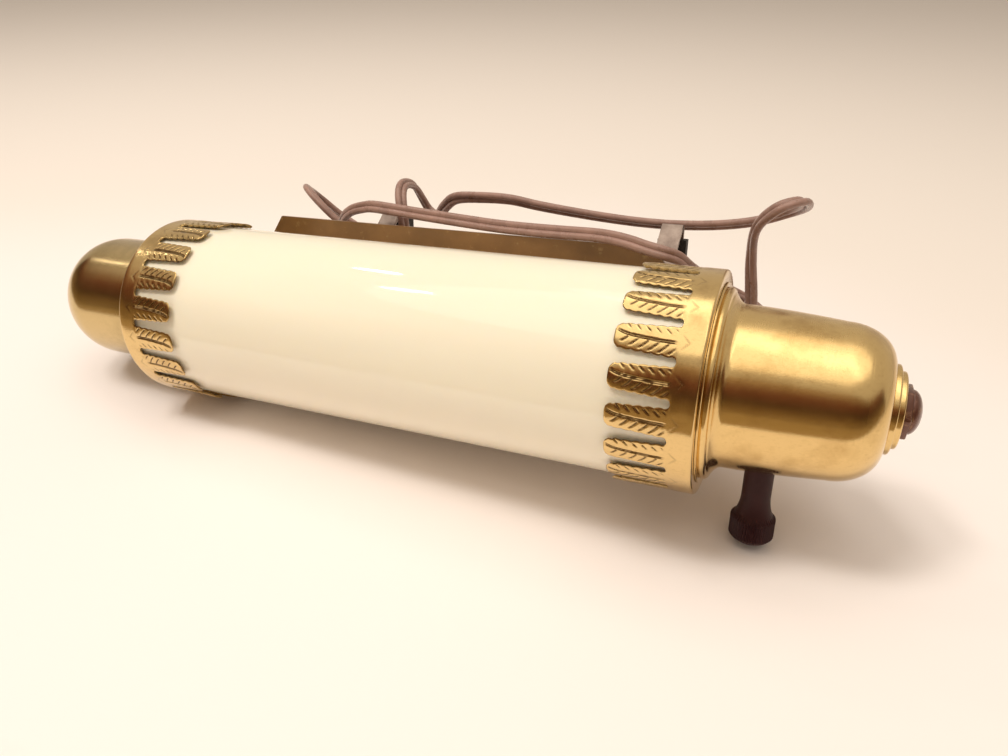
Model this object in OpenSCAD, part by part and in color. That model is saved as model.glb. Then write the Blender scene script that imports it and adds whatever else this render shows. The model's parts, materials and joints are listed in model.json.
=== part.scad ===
// Headboard reading lamp: an opal glass tube between two pierced brass galleries, lying on a table.
// Each piece is drawn about the lamp's own axis (X along the tube, Y towards the headboard, Z up in use),
// then rolled back and tipped up so that it rests on the left gallery, the switch knob and the back plate.

/* [Glass tube] */
// Outside diameter of the opal glass tube
glass_d = 63.5; // [55:0.5:70]
// Wall of the glass tube
glass_wall = 3.2; // [2:0.1:4]
// Length of the glass tube
glass_l = 198; // [190:1:230]

/* [Galleries] */
// Gap between the glass and the gallery around it
gallery_gap = 0.65; // [0.4:0.05:1]
// Thickness of the gallery sheet
gallery_sheet = 0.9; // [0.6:0.1:1.2]
// Length of a gallery from its rim to the leaf tips
gallery_l = 24; // [22:0.5:28]
// Number of leaves round a gallery
leaf_count = 19; // [12:1:20]
// How far the right gallery's leaves are turned from the top towards the front, in degrees
leaf_turn = 15.8; // [0:0.1:18.9]
// Length of the slot between two leaves
slot_l = 17.3; // [14:0.1:18]
// Width of a slot at the leaf tips
slot_tip_w = 4.4; // [3.4:0.1:5]
// Width of a slot at its root
slot_root_w = 2.5; // [2:0.1:3]
// Round bites that shape the leaf edges along one slot
slot_bites = 5; // [4:1:6]
// Radius of the hole in a gallery's end wall
gallery_hole_r = 19; // [18.4:0.1:19.2]
// Radius of the bend between a gallery's side and its end wall
gallery_bend_r = 1.2; // [1:0.1:1.8]
// Thickness of the felt ring between the glass and the gallery's end wall
felt_t = 1.4; // [1:0.1:2]

/* [End cups] */
// Outside radius of both end cups
cup_r = 23.4; // [23.2:0.1:24.2]
// Thickness of the cup sheet
cup_sheet = 0.8; // [0.6:0.1:1]
// Length of the right cup beyond the gallery
right_cup_l = 45.5; // [44:0.5:50]
// Radius of the right cup's rounded end
right_cup_round = 12; // [9:0.5:12.5]
// Length of the left cap beyond the gallery
left_cap_l = 51.5; // [46:0.5:58]
// Radius of the left cap's rounded end
left_cap_round = 19; // [14:0.5:20]
// Radius of the rolled bead at a cup's mouth
bead_r = 29.8; // [29.6:0.1:30.6]
// Width of the rolled bead along the lamp
bead_w = 2.6; // [2.4:0.1:3.2]
// Length of the curved neck behind the bead
neck_l = 6.5; // [5:0.5:8]

/* [Nut and check ring] */
// Radius of the stepped check ring under the nut
check_r = 12.5; // [10.5:0.5:13]
// Thickness of the check ring
check_t = 2.6; // [2:0.1:3.4]
// Width across the flats of the cap nut
nut_flats = 11; // [10:0.5:12]
// Height of the cap nut's six-sided part
nut_hex_h = 2.4; // [2:0.1:4]
// Radius of the cap nut's dome
nut_dome_r = 4.9; // [4.6:0.1:5]
// Radius of the threaded nipple
nipple_r = 3.1; // [2.6:0.1:3.4]
// Thickness of a locknut on the nipple
locknut_t = 3.2; // [3:0.1:3.6]

/* [Socket and switch] */
// Outside radius of the socket shell
socket_r = 17; // [16.8:0.1:17.4]
// Wall of the socket shell
socket_wall = 0.6; // [0.5:0.1:0.8]
// Distance of the knob's axis beyond the gallery rim
knob_a = 16.2; // [15:0.1:18]
// Distance of the knob's end from the lamp's axis
knob_end_r = 49.2; // [46:0.1:52]
// Diameter of the knob's head
knob_head_d = 14.1; // [12:0.1:16]
// Height of the knob's head
knob_head_h = 9.6; // [8:0.1:12]
// Diameter of the knob's stem
knob_stem_d = 8.6; // [7.6:0.1:9.4]
// Ribs round the knob's head
knob_ribs = 36; // [24:1:40]
// Radius of the switch shaft
shaft_r = 1.6; // [1.4:0.1:2]

/* [Bulb] */
// Radius of the tubular bulb
bulb_r = 16; // [14.5:0.5:16.5]
// Length of the tubular bulb with its base
bulb_l = 143; // [120:1:150]

/* [Back plate] */
// Gap between the galleries and the plate behind them
plate_gap = 0.9; // [0.6:0.1:2]
// Thickness of the back plate
plate_t = 1.2; // [1:0.1:1.6]
// Height of the plate above the lamp's axis
plate_up = 31.6; // [30:0.1:32]
// Depth of the plate below the lamp's axis
plate_down = 28.5; // [27:0.1:29.5]
// Length of the plate to the left of the lamp's middle
plate_left = 87; // [82:0.5:92]
// Length of the plate to the right of the lamp's middle
plate_right = 80; // [79:0.5:86]
// Height of the cut corners of the plate
corner_h = 9; // [6:0.5:11]
// Width of the cut corners of the plate
corner_w = 6.4; // [4:0.2:8]

/* [End brackets] */
// Width of the bracket strips
bracket_w = 12; // [10:0.5:13]
// Thickness of the bracket strips
bracket_t = 1.2; // [1:0.1:1.4]
// Length of the bracket foot on the plate
bracket_foot = 30; // [26:1:32]
// Outside radius of the bracket's ring
ring_r = 26.6; // [26.4:0.1:26.8]
// Length of the collar that carries the left cap
collar_l = 16; // [13:0.5:20]
// Radius of the screws through the bracket rings
screw_r = 1.5; // [1.2:0.1:1.6]
// Radius of the rivet shanks in the plate
rivet_r = 1.5; // [1.2:0.1:1.8]

/* [Hooks] */
// Place of the right hook along the lamp
right_hook_x = 75.2; // [68:0.2:76]
// Place of the left hook along the lamp
left_hook_x = -38; // [-44:0.5:-36]
// Width of the hook strap
hook_w = 7.4; // [7:0.1:9]
// Thickness of the hook strap
hook_t = 1.4; // [1.2:0.1:1.8]
// Distance between the strap's foot and its drop leg
hook_reach = 20.6; // [18:0.1:22]
// Height of the hook's bend above the lamp's axis
hook_top = 36; // [33:0.1:37]
// Height where the strap leaves the plate
hook_root = 20.5; // [19:0.1:22]
// Radius of the bend into the drop leg
hook_bend_r = 3; // [2.5:0.1:3.6]
// Length of the hook's drop leg below the bend
hook_drop = 9; // [7.5:0.5:11]
// Thickness of the rubber pad on the drop leg
pad_t = 1.4; // [1:0.1:1.8]

/* [Cord and plug] */
// Diameter of the round tube that stands for the flat twin cord
cord_d = 4.8; // [4.2:0.1:5]
// Length of the sleeve where the cord leaves the cup
sleeve_l = 21; // [20:0.5:21.5]
// Distance between neighbouring loops of the coil
coil_pitch = 5.6; // [5.5:0.1:5.8]
// Height between the two layers of the coil
coil_rise = 6; // [5.6:0.1:6.4]
// Length of the plug's body
plug_l = 26; // [22:0.5:30]
// Width of the plug's body
plug_w = 22; // [20:0.5:26]
// Height of the plug's body
plug_h = 11.6; // [10:0.2:11.6]

/* [Hidden] */
$fn = 64;

// Clearances: a running fit, and the gap left between pieces that only lie near each other
fit = 0.05;
seat = 0.3;

// Stations along the lamp's axis, from its middle
glass_r = glass_d / 2;
gallery_in = glass_r + gallery_gap;
gallery_r = gallery_in + gallery_sheet;
wall_x = glass_l / 2 + felt_t;
rim_x = wall_x + gallery_sheet;
tip_x = rim_x - gallery_l;
knob_x = rim_x + knob_a;
ring_x = rim_x + bracket_t;
mouth_x = rim_x + fit;
cup_in = cup_r - cup_sheet;
cup_end = mouth_x + right_cup_l;
cap_end = mouth_x + left_cap_l;

// Distances behind the lamp's axis
plate_front = gallery_r + plate_gap;
plate_back = plate_front + plate_t;
foot_mid = plate_back + hook_t / 2;

// Nut, nipple and socket strap
strap_t = 1;
strap_w = 8;
strap_r = socket_r + strap_t + 0.4;
strap_turn = 45;
nut_x = cup_end + check_t;
nut_top = nut_x + nut_hex_h;
strap_end = cup_end - cup_sheet - locknut_t;
strap_back = strap_end - strap_t;

// Screws through the bracket rings
gallery_screw_circle = 24.6;
strap_screw_circle = 22.2;
screw_head_r = 1.9;
screw_head_h = 1;

// Socket, switch and bulb
socket_front = rim_x - 17;
switch_front = knob_x - 6;
switch_back = knob_x + 6.5;
socket_back = switch_back + 4;
shell_in = socket_r - socket_wall;
thread_r = 13.35;
thread_wall = 0.5;
contact_r = 3;
contact_tip = switch_front - 3.2;
base_r = 13.2;
base_l = 21;
bulb_wall = 0.8;
bulb_neck_r = 12.2;
bulb_end = contact_tip - 0.2;
bulb_neck = bulb_end - base_l;
bulb_tip = bulb_end - bulb_l;

// Terminals and the wires that reach them
terminal_y = 8;
terminal_z = 3;
wire_r = 0.9;
wire_gap = 1.6;

// Knob
knob_edge = 1.2;
knob_neck = 4.5;
rib_h = 0.35;
core_r = knob_head_d / 2 - rib_h;
stem_top = knob_end_r - socket_r - seat;
knob_bore = 12;

// Cord sleeve: a neck in the cup's hole between two flanges
sleeve_r = 3.6;
flange_r = 5;
flange_t = 1.2;
flange_in = cup_in - 1;

// Resting pose: the left gallery's rim, the knob and the plate's lower corner touch the table
corner_x = plate_left - corner_w;
function rim_low(t) = (rim_x - gallery_bend_r) * sin(t) + (gallery_r - gallery_bend_r) * cos(t) + gallery_bend_r;
function knob_low(t, r) = cos(t) * cos(r) * (knob_end_r - knob_edge) + knob_edge - knob_x * sin(t)
    + (core_r - knob_edge) * norm([sin(t), cos(t) * sin(r)]);
function level_tip(t, r, n) = n == 0 ? t
    : level_tip(t + asin((knob_low(t, r) - rim_low(t)) / (rim_x + knob_x)), r, n - 1);
function level_roll(t) = asin((rim_low(t) - corner_x * sin(t)) / cos(t) / norm([plate_back, plate_down]))
    - atan2(plate_down, plate_back);
function level(t, r, n) = n == 0 ? [t, r] : let(t2 = level_tip(t, r, 4)) level(t2, level_roll(t2), n - 1);
rest = level(4, 11, 10);
tip_up = rest[0];
roll_back = rest[1];
lift = rim_low(tip_up);

// The part's origin lies on the table, under the middle of the lamp's own outline
hook_bend_y = foot_mid + hook_reach - hook_bend_r;
hook_bend_z = hook_top - hook_bend_r;
pad_back = foot_mid + hook_reach + hook_t / 2 + pad_t;
pad_top = hook_bend_z - 2;
left_edge = -(cap_end - left_cap_round) * cos(tip_up) - (cup_r - left_cap_round) * sin(tip_up) - left_cap_round;
right_edge = nut_top * cos(tip_up) + nut_dome_r;
back_edge = max(hook_bend_y * cos(roll_back) + hook_bend_z * sin(roll_back) + hook_bend_r + hook_t / 2,
    pad_back * cos(roll_back) + pad_top * sin(roll_back));
mid_x = (left_edge + right_edge) / 2;
mid_y = (back_edge - gallery_r) / 2;

function rolled(p) = [p.x, p.y * cos(roll_back) + p.z * sin(roll_back), p.z * cos(roll_back) - p.y * sin(roll_back)];
function tipped(p) = [p.x * cos(tip_up) - p.z * sin(tip_up), p.y, p.x * sin(tip_up) + p.z * cos(tip_up)];
function placed(p) = tipped(rolled(p)) + [-mid_x, -mid_y, lift];

module at_rest() {
    translate([-mid_x, -mid_y, lift]) rotate([0, -tip_up, 0]) rotate([-roll_back, 0, 0]) children();
}

function arc(along, out, r, from, to, n) = [for (i = [0:n]) let(a = from + (to - from) * i / n)
    [along + r * cos(a), out + r * sin(a)]];

// Turns an outline of points, each a place along the lamp's axis and a radius, about that axis
module spun(outline) {
    rotate([0, 90, 0]) rotate_extrude($fn = 96) polygon([for (p = outline) [p[1], p[0]]]);
}

module tube_x(from, to, r_out, r_in) {
    spun([[from, r_in], [to, r_in], [to, r_out], [from, r_out]]);
}

module rod_x(from, to, r) {
    translate([from, 0, 0]) rotate([0, 90, 0]) cylinder(h = to - from, r = r);
}

module slab(low, high) {
    translate(low) cube(high - low);
}

module left_end() {
    mirror([1, 0, 0]) children();
}

module glass_tube() {
    color("#fbf1d8") at_rest() tube_x(-glass_l / 2, glass_l / 2, glass_r, glass_r - glass_wall);
}

// Gallery: a flat end wall, a bent rim and a skirt of leaves round the glass
module gallery_shell() {
    spun(concat([[tip_x, gallery_in], [wall_x, gallery_in], [wall_x, gallery_hole_r], [rim_x, gallery_hole_r]],
        arc(rim_x - gallery_bend_r, gallery_r - gallery_bend_r, gallery_bend_r, 0, 90, 6),
        [[tip_x, gallery_r]]));
}

// One slot: round bites that shrink towards the root leave a scalloped edge on the leaves beside it
module leaf_slot() {
    root_r = slot_root_w / 2;
    for (i = [0:slot_bites - 1]) {
        r = (slot_tip_w + (slot_root_w - slot_tip_w) * i / slot_bites) / 2;
        translate([slot_l * i / slot_bites, 0]) circle(r = r);
    }
    translate([slot_l - root_r, 0]) circle(r = root_r);
    polygon([[-1, -slot_tip_w * 0.9], [0.6, -slot_tip_w * 0.5], [2, -slot_tip_w * 0.4],
        [slot_l - root_r, -root_r * 0.8], [slot_l - root_r, root_r * 0.8],
        [2, slot_tip_w * 0.4], [0.6, slot_tip_w * 0.5], [-1, slot_tip_w * 0.9]]);
}

// Two places on a circle round the lamp's axis, opposite each other
module screw_places(circle_r, turn) {
    for (a = [turn, turn + 180]) rotate([a, 0, 0]) translate([0, 0, circle_r]) children();
}

module gallery_screw_places() {
    screw_places(gallery_screw_circle, -strap_turn) children();
}

module strap_screw_places() {
    screw_places(strap_screw_circle, strap_turn) children();
}

module gallery(turn) {
    difference() {
        gallery_shell();
        for (i = [0:leaf_count - 1]) rotate([turn + 360 / leaf_count * (i + 0.5), 0, 0])
            translate([tip_x, 0, gallery_in - 2]) linear_extrude(height = gallery_sheet + 4) leaf_slot($fn = 20);
        gallery_screw_places() rod_x(wall_x - 1, rim_x + 1, screw_r + fit);
    }
}

module right_gallery() {
    color("#b98f52") at_rest() gallery(leaf_turn);
}

module left_gallery() {
    color("#b98f52") at_rest() left_end() gallery(0);
}

module felt_ring() {
    tube_x(glass_l / 2, wall_x, glass_r - 0.2, glass_r - glass_wall - 0.4);
}

module right_felt_ring() {
    color("#6d5a45") at_rest() felt_ring();
}

module left_felt_ring() {
    color("#6d5a45") at_rest() left_end() felt_ring();
}

// End cup: a rolled bead at the mouth, a curved neck, a straight side and a rounded end
module cup_shell(len, round_r, hole) {
    side_x = bead_w + neck_l;
    translate([mouth_x, 0, 0]) spun(concat(
        [[0, bead_r - 2.2], [0, bead_r - 0.8]],
        arc(bead_w / 2, bead_r - bead_w / 2, bead_w / 2, 150, 20, 8),
        [[bead_w + 0.6, bead_r - 2.9], [bead_w + 1.6, bead_r - 4.1], [bead_w + 3.2, cup_r + 0.75], [side_x, cup_r]],
        arc(len - round_r, cup_r - round_r, round_r, 90, 0, 10),
        [[len, hole], [len - cup_sheet, hole]],
        arc(len - round_r, cup_r - round_r, round_r - cup_sheet, 0, 90, 10),
        [[side_x, cup_in], [bead_w + 3, cup_in + 0.75], [bead_w + 1.1, bead_r - 4.6], [bead_w - 0.2, bead_r - 3]]));
}

// The notch lets the bracket's arm pass under the bead at the back
module arm_notch() {
    slab([rim_x, 15, -bracket_w / 2 - seat], [ring_x + seat, gallery_r, bracket_w / 2 + seat]);
}

module right_cup() {
    color("#c79d5a") at_rest() difference() {
        cup_shell(right_cup_l, right_cup_round, nipple_r + fit);
        arm_notch();
        translate([knob_x, 0, -cup_r - 2]) cylinder(h = 8, r = knob_stem_d / 2 + seat);
        translate([knob_x, cup_r - 5, 0]) rotate([-90, 0, 0]) cylinder(h = 8, r = sleeve_r + fit);
    }
}

module left_cap() {
    color("#a97f49") at_rest() left_end() difference() {
        cup_shell(left_cap_l, left_cap_round, 0);
        arm_notch();
    }
}

module check_ring() {
    color("#b08a4c") at_rest() translate([cup_end, 0, 0]) spun(concat([[0, nipple_r + fit], [0, check_r]],
        arc(check_t * 0.3, check_r - check_t * 0.3, check_t * 0.3, 90, 0, 4),
        [[check_t * 0.6, check_r * 0.84], [check_t * 0.7, check_r * 0.78], [check_t * 0.7, check_r * 0.66],
        [check_t, check_r * 0.6], [check_t, nipple_r + fit]]));
}

// Cap nut: six flats under a dome, with a blind hole for the nipple
module cap_nut() {
    color("#5b372c") at_rest() difference() {
        union() {
            translate([nut_x, 0, 0]) rotate([0, 90, 0]) cylinder(h = nut_hex_h, r = nut_flats / sqrt(3), $fn = 6);
            translate([nut_top, 0, 0]) spun(concat([[-0.5, 0], [-0.5, nut_dome_r]], arc(0, 0, nut_dome_r, 90, 0, 10)));
        }
        rod_x(nut_x - 1, nut_top + 2, nipple_r + fit);
    }
}

module nipple() {
    color("#8c8478") at_rest() tube_x(socket_back - 2, nut_top + 1.5, nipple_r, nipple_r - 1.2);
}

// One locknut on each side of the strap's end
module nipple_locknuts() {
    color("#8c8478") at_rest() difference() {
        for (x = [strap_back - locknut_t, strap_end]) translate([x, 0, 0]) rotate([0, 90, 0])
            cylinder(h = locknut_t, r = 7, $fn = 6);
        rod_x(strap_back - locknut_t - 1, cup_end, nipple_r + fit);
    }
}

// Socket strap: two arms from the bracket's ring to the nipple, turned clear of the knob and the cord
module socket_strap() {
    color("#9a9184") at_rest() difference() {
        rotate([strap_turn, 0, 0]) union() {
            slab([strap_back, -strap_w / 2, -strap_r], [strap_end, strap_w / 2, strap_r]);
            for (turn = [0, 180]) rotate([turn, 0, 0]) {
                slab([ring_x, -strap_w / 2, strap_r - strap_t], [strap_end, strap_w / 2, strap_r]);
                slab([ring_x, -strap_w / 2, strap_r - strap_t], [ring_x + strap_t, strap_w / 2, ring_r - 2.6]);
            }
        }
        rod_x(strap_back - 1, strap_end + 1, nipple_r + fit);
        strap_screw_places() rod_x(ring_x - 1, ring_x + strap_t + 1, screw_r + fit);
    }
}

module ring_screw(from, under_head) {
    rod_x(from, under_head + screw_head_h / 2, screw_r);
    rod_x(under_head, under_head + screw_head_h, screw_head_r);
}

module strap_screws() {
    color("#8c8478") at_rest() strap_screw_places() ring_screw(rim_x + seat, ring_x + strap_t);
}

module gallery_screws() {
    color("#8c8478") at_rest() {
        gallery_screw_places() ring_screw(wall_x - 1, ring_x);
        left_end() gallery_screw_places() ring_screw(wall_x - 1, ring_x);
    }
}

// Socket: a brass shell over an insulating liner, the thread for the bulb and its centre contact
module socket_shell() {
    color("#b4935b") at_rest() difference() {
        spun([[socket_front, shell_in], [socket_back, shell_in], [socket_back, nipple_r + fit],
            [socket_back + socket_wall, nipple_r + fit], [socket_back + socket_wall, socket_r], [socket_front, socket_r]]);
        translate([knob_x, 0, -socket_r - 2]) cylinder(h = 8, r = shaft_r + 1.2);
        for (s = [-1, 1]) translate([0, s * terminal_y, s * terminal_z]) rod_x(socket_back - 1, socket_back + 2, wire_r + seat);
    }
}

module socket_insulator() {
    liner_r = thread_r + thread_wall + fit;
    step_x = switch_front - 2;
    color("#3a342f") at_rest() spun([[socket_front + 1, liner_r], [step_x, liner_r], [step_x, contact_r + fit],
        [switch_front, contact_r + fit], [switch_front, shell_in - fit], [socket_front + 1, shell_in - fit]]);
}

module screw_shell() {
    color("#b4935b") at_rest() tube_x(socket_front + 2, switch_front - 2, thread_r + thread_wall, thread_r);
}

module centre_contact() {
    color("#b4935b") at_rest() rod_x(contact_tip, switch_front, contact_r);
}

module switch_body() {
    color("#4a3b30") at_rest() difference() {
        rod_x(switch_front, switch_back, shell_in - fit);
        translate([knob_x, 0, -socket_r]) cylinder(h = socket_r + 4, r = shaft_r + fit);
    }
}

module terminal_screws() {
    color("#b4935b") at_rest() for (s = [-1, 1]) translate([0, s * terminal_y, s * terminal_z])
        rod_x(switch_back, switch_back + 1.5, 2.2);
}

module switch_shaft() {
    low = knob_end_r - knob_bore;
    color("#8c8478") at_rest() translate([knob_x, 0, -low + seat]) cylinder(h = low + 3, r = shaft_r);
}

// Knob: a straight stem, a hollow curve and a ribbed head with a rounded end, bored for the shaft
module switch_knob() {
    stem_r = knob_stem_d / 2;
    shoulder_r = core_r - 0.9;
    color("#3f2620") at_rest() translate([knob_x, 0, -knob_end_r]) union() {
        rotate_extrude($fn = 72) polygon(concat([[0, 0]],
            arc(core_r - knob_edge, knob_edge, knob_edge, 270, 360, 5),
            [[core_r, knob_head_h - 1.2], [shoulder_r, knob_head_h]],
            [for (i = [1:6]) let(k = i / 6)
                [stem_r + (shoulder_r - stem_r) * pow(1 - k, 2.2), knob_head_h + knob_neck * k]],
            [[stem_r, stem_top], [shaft_r + fit, stem_top], [shaft_r + fit, knob_bore], [0, knob_bore]]));
        for (i = [0:knob_ribs - 1]) rotate([0, 0, 360 / knob_ribs * i])
            translate([core_r - rib_h, -0.3, knob_edge]) cube([2 * rib_h, 0.6, knob_head_h - 2.6]);
    }
}

// Tubular bulb: a thin glass envelope, its screw base, and the stem that holds the filament
module bulb_glass() {
    inner_r = bulb_r - bulb_wall;
    color("#f3efe4") at_rest() spun(concat(
        [[bulb_neck + 1.5, bulb_neck_r - bulb_wall], [bulb_neck + 1.5, bulb_neck_r], [bulb_neck - 3, bulb_neck_r],
        [bulb_neck - 9, bulb_r]],
        arc(bulb_tip + bulb_r, 0, bulb_r, 90, 180, 10),
        arc(bulb_tip + bulb_r, 0, inner_r, 180, 90, 10),
        [[bulb_neck - 9.3, inner_r], [bulb_neck - 3.3, bulb_neck_r - bulb_wall]]));
}

module bulb_base() {
    color("#b9b2a4") at_rest() spun([[bulb_neck - 1, bulb_neck_r + fit], [bulb_neck - 1, base_r - 0.3],
        [bulb_neck, base_r], [bulb_end - 4, base_r], [bulb_end - 1, 6], [bulb_end, 4.5], [bulb_end, 0],
        [bulb_neck + 2, 0], [bulb_neck + 2, bulb_neck_r + fit]]);
}

module bulb_filament() {
    stem_end = bulb_neck - 28;
    color("#a59c8c") at_rest() union() {
        rod_x(stem_end, bulb_neck + 2, 2.5);
        rod_x(stem_end - 2, stem_end, 5);
        for (s = [-1, 1]) translate([0, 0, 4 * s]) rod_x(bulb_tip + 24, stem_end, 0.5);
        slab([bulb_tip + 24, -0.5, -4.5], [bulb_tip + 25, 0.5, 4.5]);
    }
}

// Rivet places on the plate: two through each bracket's foot, two through each hook's foot
bracket_rivet_inset = 7;
foot_low = bracket_w / 2 + 1.5;
module bracket_rivet_places(plate_end) {
    for (x = [plate_end - bracket_rivet_inset, plate_end - bracket_foot + bracket_rivet_inset])
        translate([x, 0, 0]) children();
}

module hook_rivet_places() {
    for (x = [left_hook_x, right_hook_x]) for (z = [foot_low + 3.2, hook_root - 3.6]) translate([x, 0, z]) children();
}

module rivet_hole() {
    translate([0, plate_front - 1, 0]) rotate([-90, 0, 0]) cylinder(h = plate_t + 4, r = rivet_r + fit);
}

module rivet(under_head) {
    translate([0, plate_front, 0]) rotate([-90, 0, 0]) cylinder(h = under_head - plate_front + 0.4, r = rivet_r);
    translate([0, under_head, 0]) rotate([-90, 0, 0]) cylinder(h = 0.9, r = rivet_r + 1);
}

// Back plate: a long flat sheet with its four corners cut off
module back_plate() {
    color("#7d5a36") at_rest() difference() {
        translate([0, plate_back, 0]) rotate([90, 0, 0]) linear_extrude(height = plate_t) polygon([
            [-plate_left, plate_up - corner_h], [-plate_left + corner_w, plate_up],
            [plate_right - corner_w, plate_up], [plate_right, plate_up - corner_h],
            [plate_right, corner_h - plate_down], [plate_right - corner_w, -plate_down],
            [corner_w - plate_left, -plate_down], [-plate_left, corner_h - plate_down]]);
        bracket_rivet_places(plate_right) rivet_hole();
        left_end() bracket_rivet_places(plate_left) rivet_hole();
        hook_rivet_places() rivet_hole();
    }
}

// End bracket: a foot on the plate, an arm past the gallery and a ring inside the cup's mouth
module end_bracket(plate_end) {
    foot_back = plate_back + bracket_t;
    difference() {
        union() {
            slab([plate_end - bracket_foot, plate_back, -bracket_w / 2], [ring_x, foot_back, bracket_w / 2]);
            slab([rim_x, gallery_hole_r + 2, -bracket_w / 2], [ring_x, foot_back, bracket_w / 2]);
            tube_x(rim_x, ring_x, ring_r, gallery_hole_r);
        }
        bracket_rivet_places(plate_end) rivet_hole();
        gallery_screw_places() rod_x(rim_x - 1, ring_x + 1, screw_r + fit);
    }
}

module right_end_bracket() {
    color("#8f8676") at_rest() difference() {
        end_bracket(plate_right);
        strap_screw_places() rod_x(rim_x - 1, ring_x + 1, screw_r + fit);
    }
}

module left_end_bracket() {
    color("#8f8676") at_rest() left_end() union() {
        end_bracket(plate_left);
        tube_x(rim_x + bracket_t / 2, ring_x + collar_l, cup_in - fit, cup_in - 1.1);
    }
}

module bracket_rivets() {
    color("#b8ab94") at_rest() {
        bracket_rivet_places(plate_right) rivet(plate_back + bracket_t);
        left_end() bracket_rivet_places(plate_left) rivet(plate_back + bracket_t);
    }
}

// Hook: a flat strap that rises from its foot, runs back over the headboard and drops behind it
hook_rise = hook_top - hook_root;
hook_line = concat([[foot_mid, foot_low], [foot_mid, hook_root - 1.5], [foot_mid + 0.3, hook_root]],
    [for (k = [[0.2, 0.19], [0.45, 0.53], [0.7, 0.82]]) [foot_mid + k.x * hook_reach, hook_root + k.y * hook_rise]],
    arc(hook_bend_y, hook_bend_z, hook_bend_r, 85, 0, 6),
    [[foot_mid + hook_reach, hook_bend_z - hook_drop]]);

// The line of points at a distance to one side of a path
function beside(path, d) = [for (i = [0:len(path) - 1])
    let(run = path[min(i + 1, len(path) - 1)] - path[max(i - 1, 0)]) path[i] + d * [-run.y, run.x] / norm(run)];
function reversed(list) = [for (i = [len(list) - 1:-1:0]) list[i]];

module hook(x) {
    difference() {
        translate([x - hook_w / 2, 0, 0]) rotate([90, 0, 90]) linear_extrude(height = hook_w)
            polygon(concat(beside(hook_line, hook_t / 2), reversed(beside(hook_line, -hook_t / 2))));
        hook_rivet_places() rivet_hole();
    }
}

module right_hook() {
    color("#96837a") at_rest() hook(right_hook_x);
}

module left_hook() {
    color("#96837a") at_rest() hook(left_hook_x);
}

module hook_rivets() {
    color("#b8ab94") at_rest() hook_rivet_places() rivet(plate_back + hook_t);
}

// Rubber pad: a short sleeve closed at its lower end, pushed over the drop leg
module hook_pad(x) {
    leg_y = foot_mid + hook_reach;
    leg_low = hook_bend_z - hook_drop;
    half_w = hook_w / 2 + fit;
    half_t = hook_t / 2 + fit;
    difference() {
        slab([x - half_w - pad_t, leg_y - half_t - pad_t + fit, leg_low - pad_t], [x + half_w + pad_t, pad_back, pad_top]);
        slab([x - half_w, leg_y - half_t, leg_low - fit], [x + half_w, leg_y + half_t, pad_top + 1]);
    }
}

module right_hook_pad() {
    color("#2d2724") at_rest() hook_pad(right_hook_x);
}

module left_hook_pad() {
    color("#2d2724") at_rest() hook_pad(left_hook_x);
}

module lead_wires() {
    entry_y = flange_in - flange_t;
    turn_y = socket_r + 1.9;
    turn_x = socket_back + socket_wall + 2.6;
    end_x = switch_back + 1.5;
    bend = 2;
    color("#d8c9ad") at_rest() {
        swept_tube(smooth([[knob_x, entry_y, wire_gap], [knob_x, entry_y - 0.6, wire_gap],
            [knob_x + bend, turn_y, wire_gap], [turn_x - bend, turn_y, wire_gap], [turn_x, turn_y - bend, wire_gap],
            [turn_x, terminal_y + bend, terminal_z], [turn_x - 0.6, terminal_y + 0.4, terminal_z],
            [end_x + bend, terminal_y, terminal_z], [end_x, terminal_y, terminal_z]], bend), 2 * wire_r, 8);
        swept_tube(smooth([[knob_x, entry_y, -wire_gap], [knob_x, entry_y - 0.6, -wire_gap],
            [knob_x + bend, turn_y, -wire_gap], [turn_x - bend, turn_y, -wire_gap], [turn_x, turn_y - bend, -wire_gap - 0.5],
            [turn_x, 6, -9], [turn_x, -2, -9], [turn_x - 0.6, 0.6 - terminal_y, -terminal_z - 0.6],
            [end_x + bend, -terminal_y, -terminal_z], [end_x, -terminal_y, -terminal_z]], bend), 2 * wire_r, 8);
    }
}

// Cord sleeve: gripped in the cup's hole, tapering outwards to the cord
module cord_sleeve() {
    color("#55423a") at_rest() translate([knob_x, 0, 0]) rotate([-90, 0, 0]) rotate_extrude() polygon([
        [0, flange_in - flange_t], [flange_r, flange_in - flange_t], [flange_r, flange_in], [sleeve_r, flange_in],
        [sleeve_r, cup_r + fit], [flange_r, cup_r + fit], [flange_r, cup_r + flange_t], [4.3, cup_r + 2 * flange_t],
        [3.9, cup_r + sleeve_l * 0.5], [3.1, cup_r + sleeve_l], [0, cup_r + sleeve_l]]);
}

// Coil: the lower layer winds in, the cord climbs as the spiral turns, and the upper layer winds out
coil_side = [-47, 51.2];
coil_low = 3.8;
coil_in_r = 17;
layer_loops = 3;
loop_rings = 24;
coil_at = coil_side + [0, coil_in_r + coil_pitch * layer_loops];
function coil_point(k) = let(from_turn = k - layer_loops, r = coil_in_r + coil_pitch * abs(from_turn),
    climb = min(max(from_turn * 2 + 0.5, 0), 1))
    [coil_at.x + r * cos(-90 - 360 * k), coil_at.y + r * sin(-90 - 360 * k), coil_low + coil_rise * climb];
coil_path = concat([coil_point(0) + [cord_d, 0, 0]],
    [for (i = [0:2 * layer_loops * loop_rings]) coil_point(i / loop_rings)],
    [coil_point(2 * layer_loops) - [cord_d, 0, 0]]);

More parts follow.
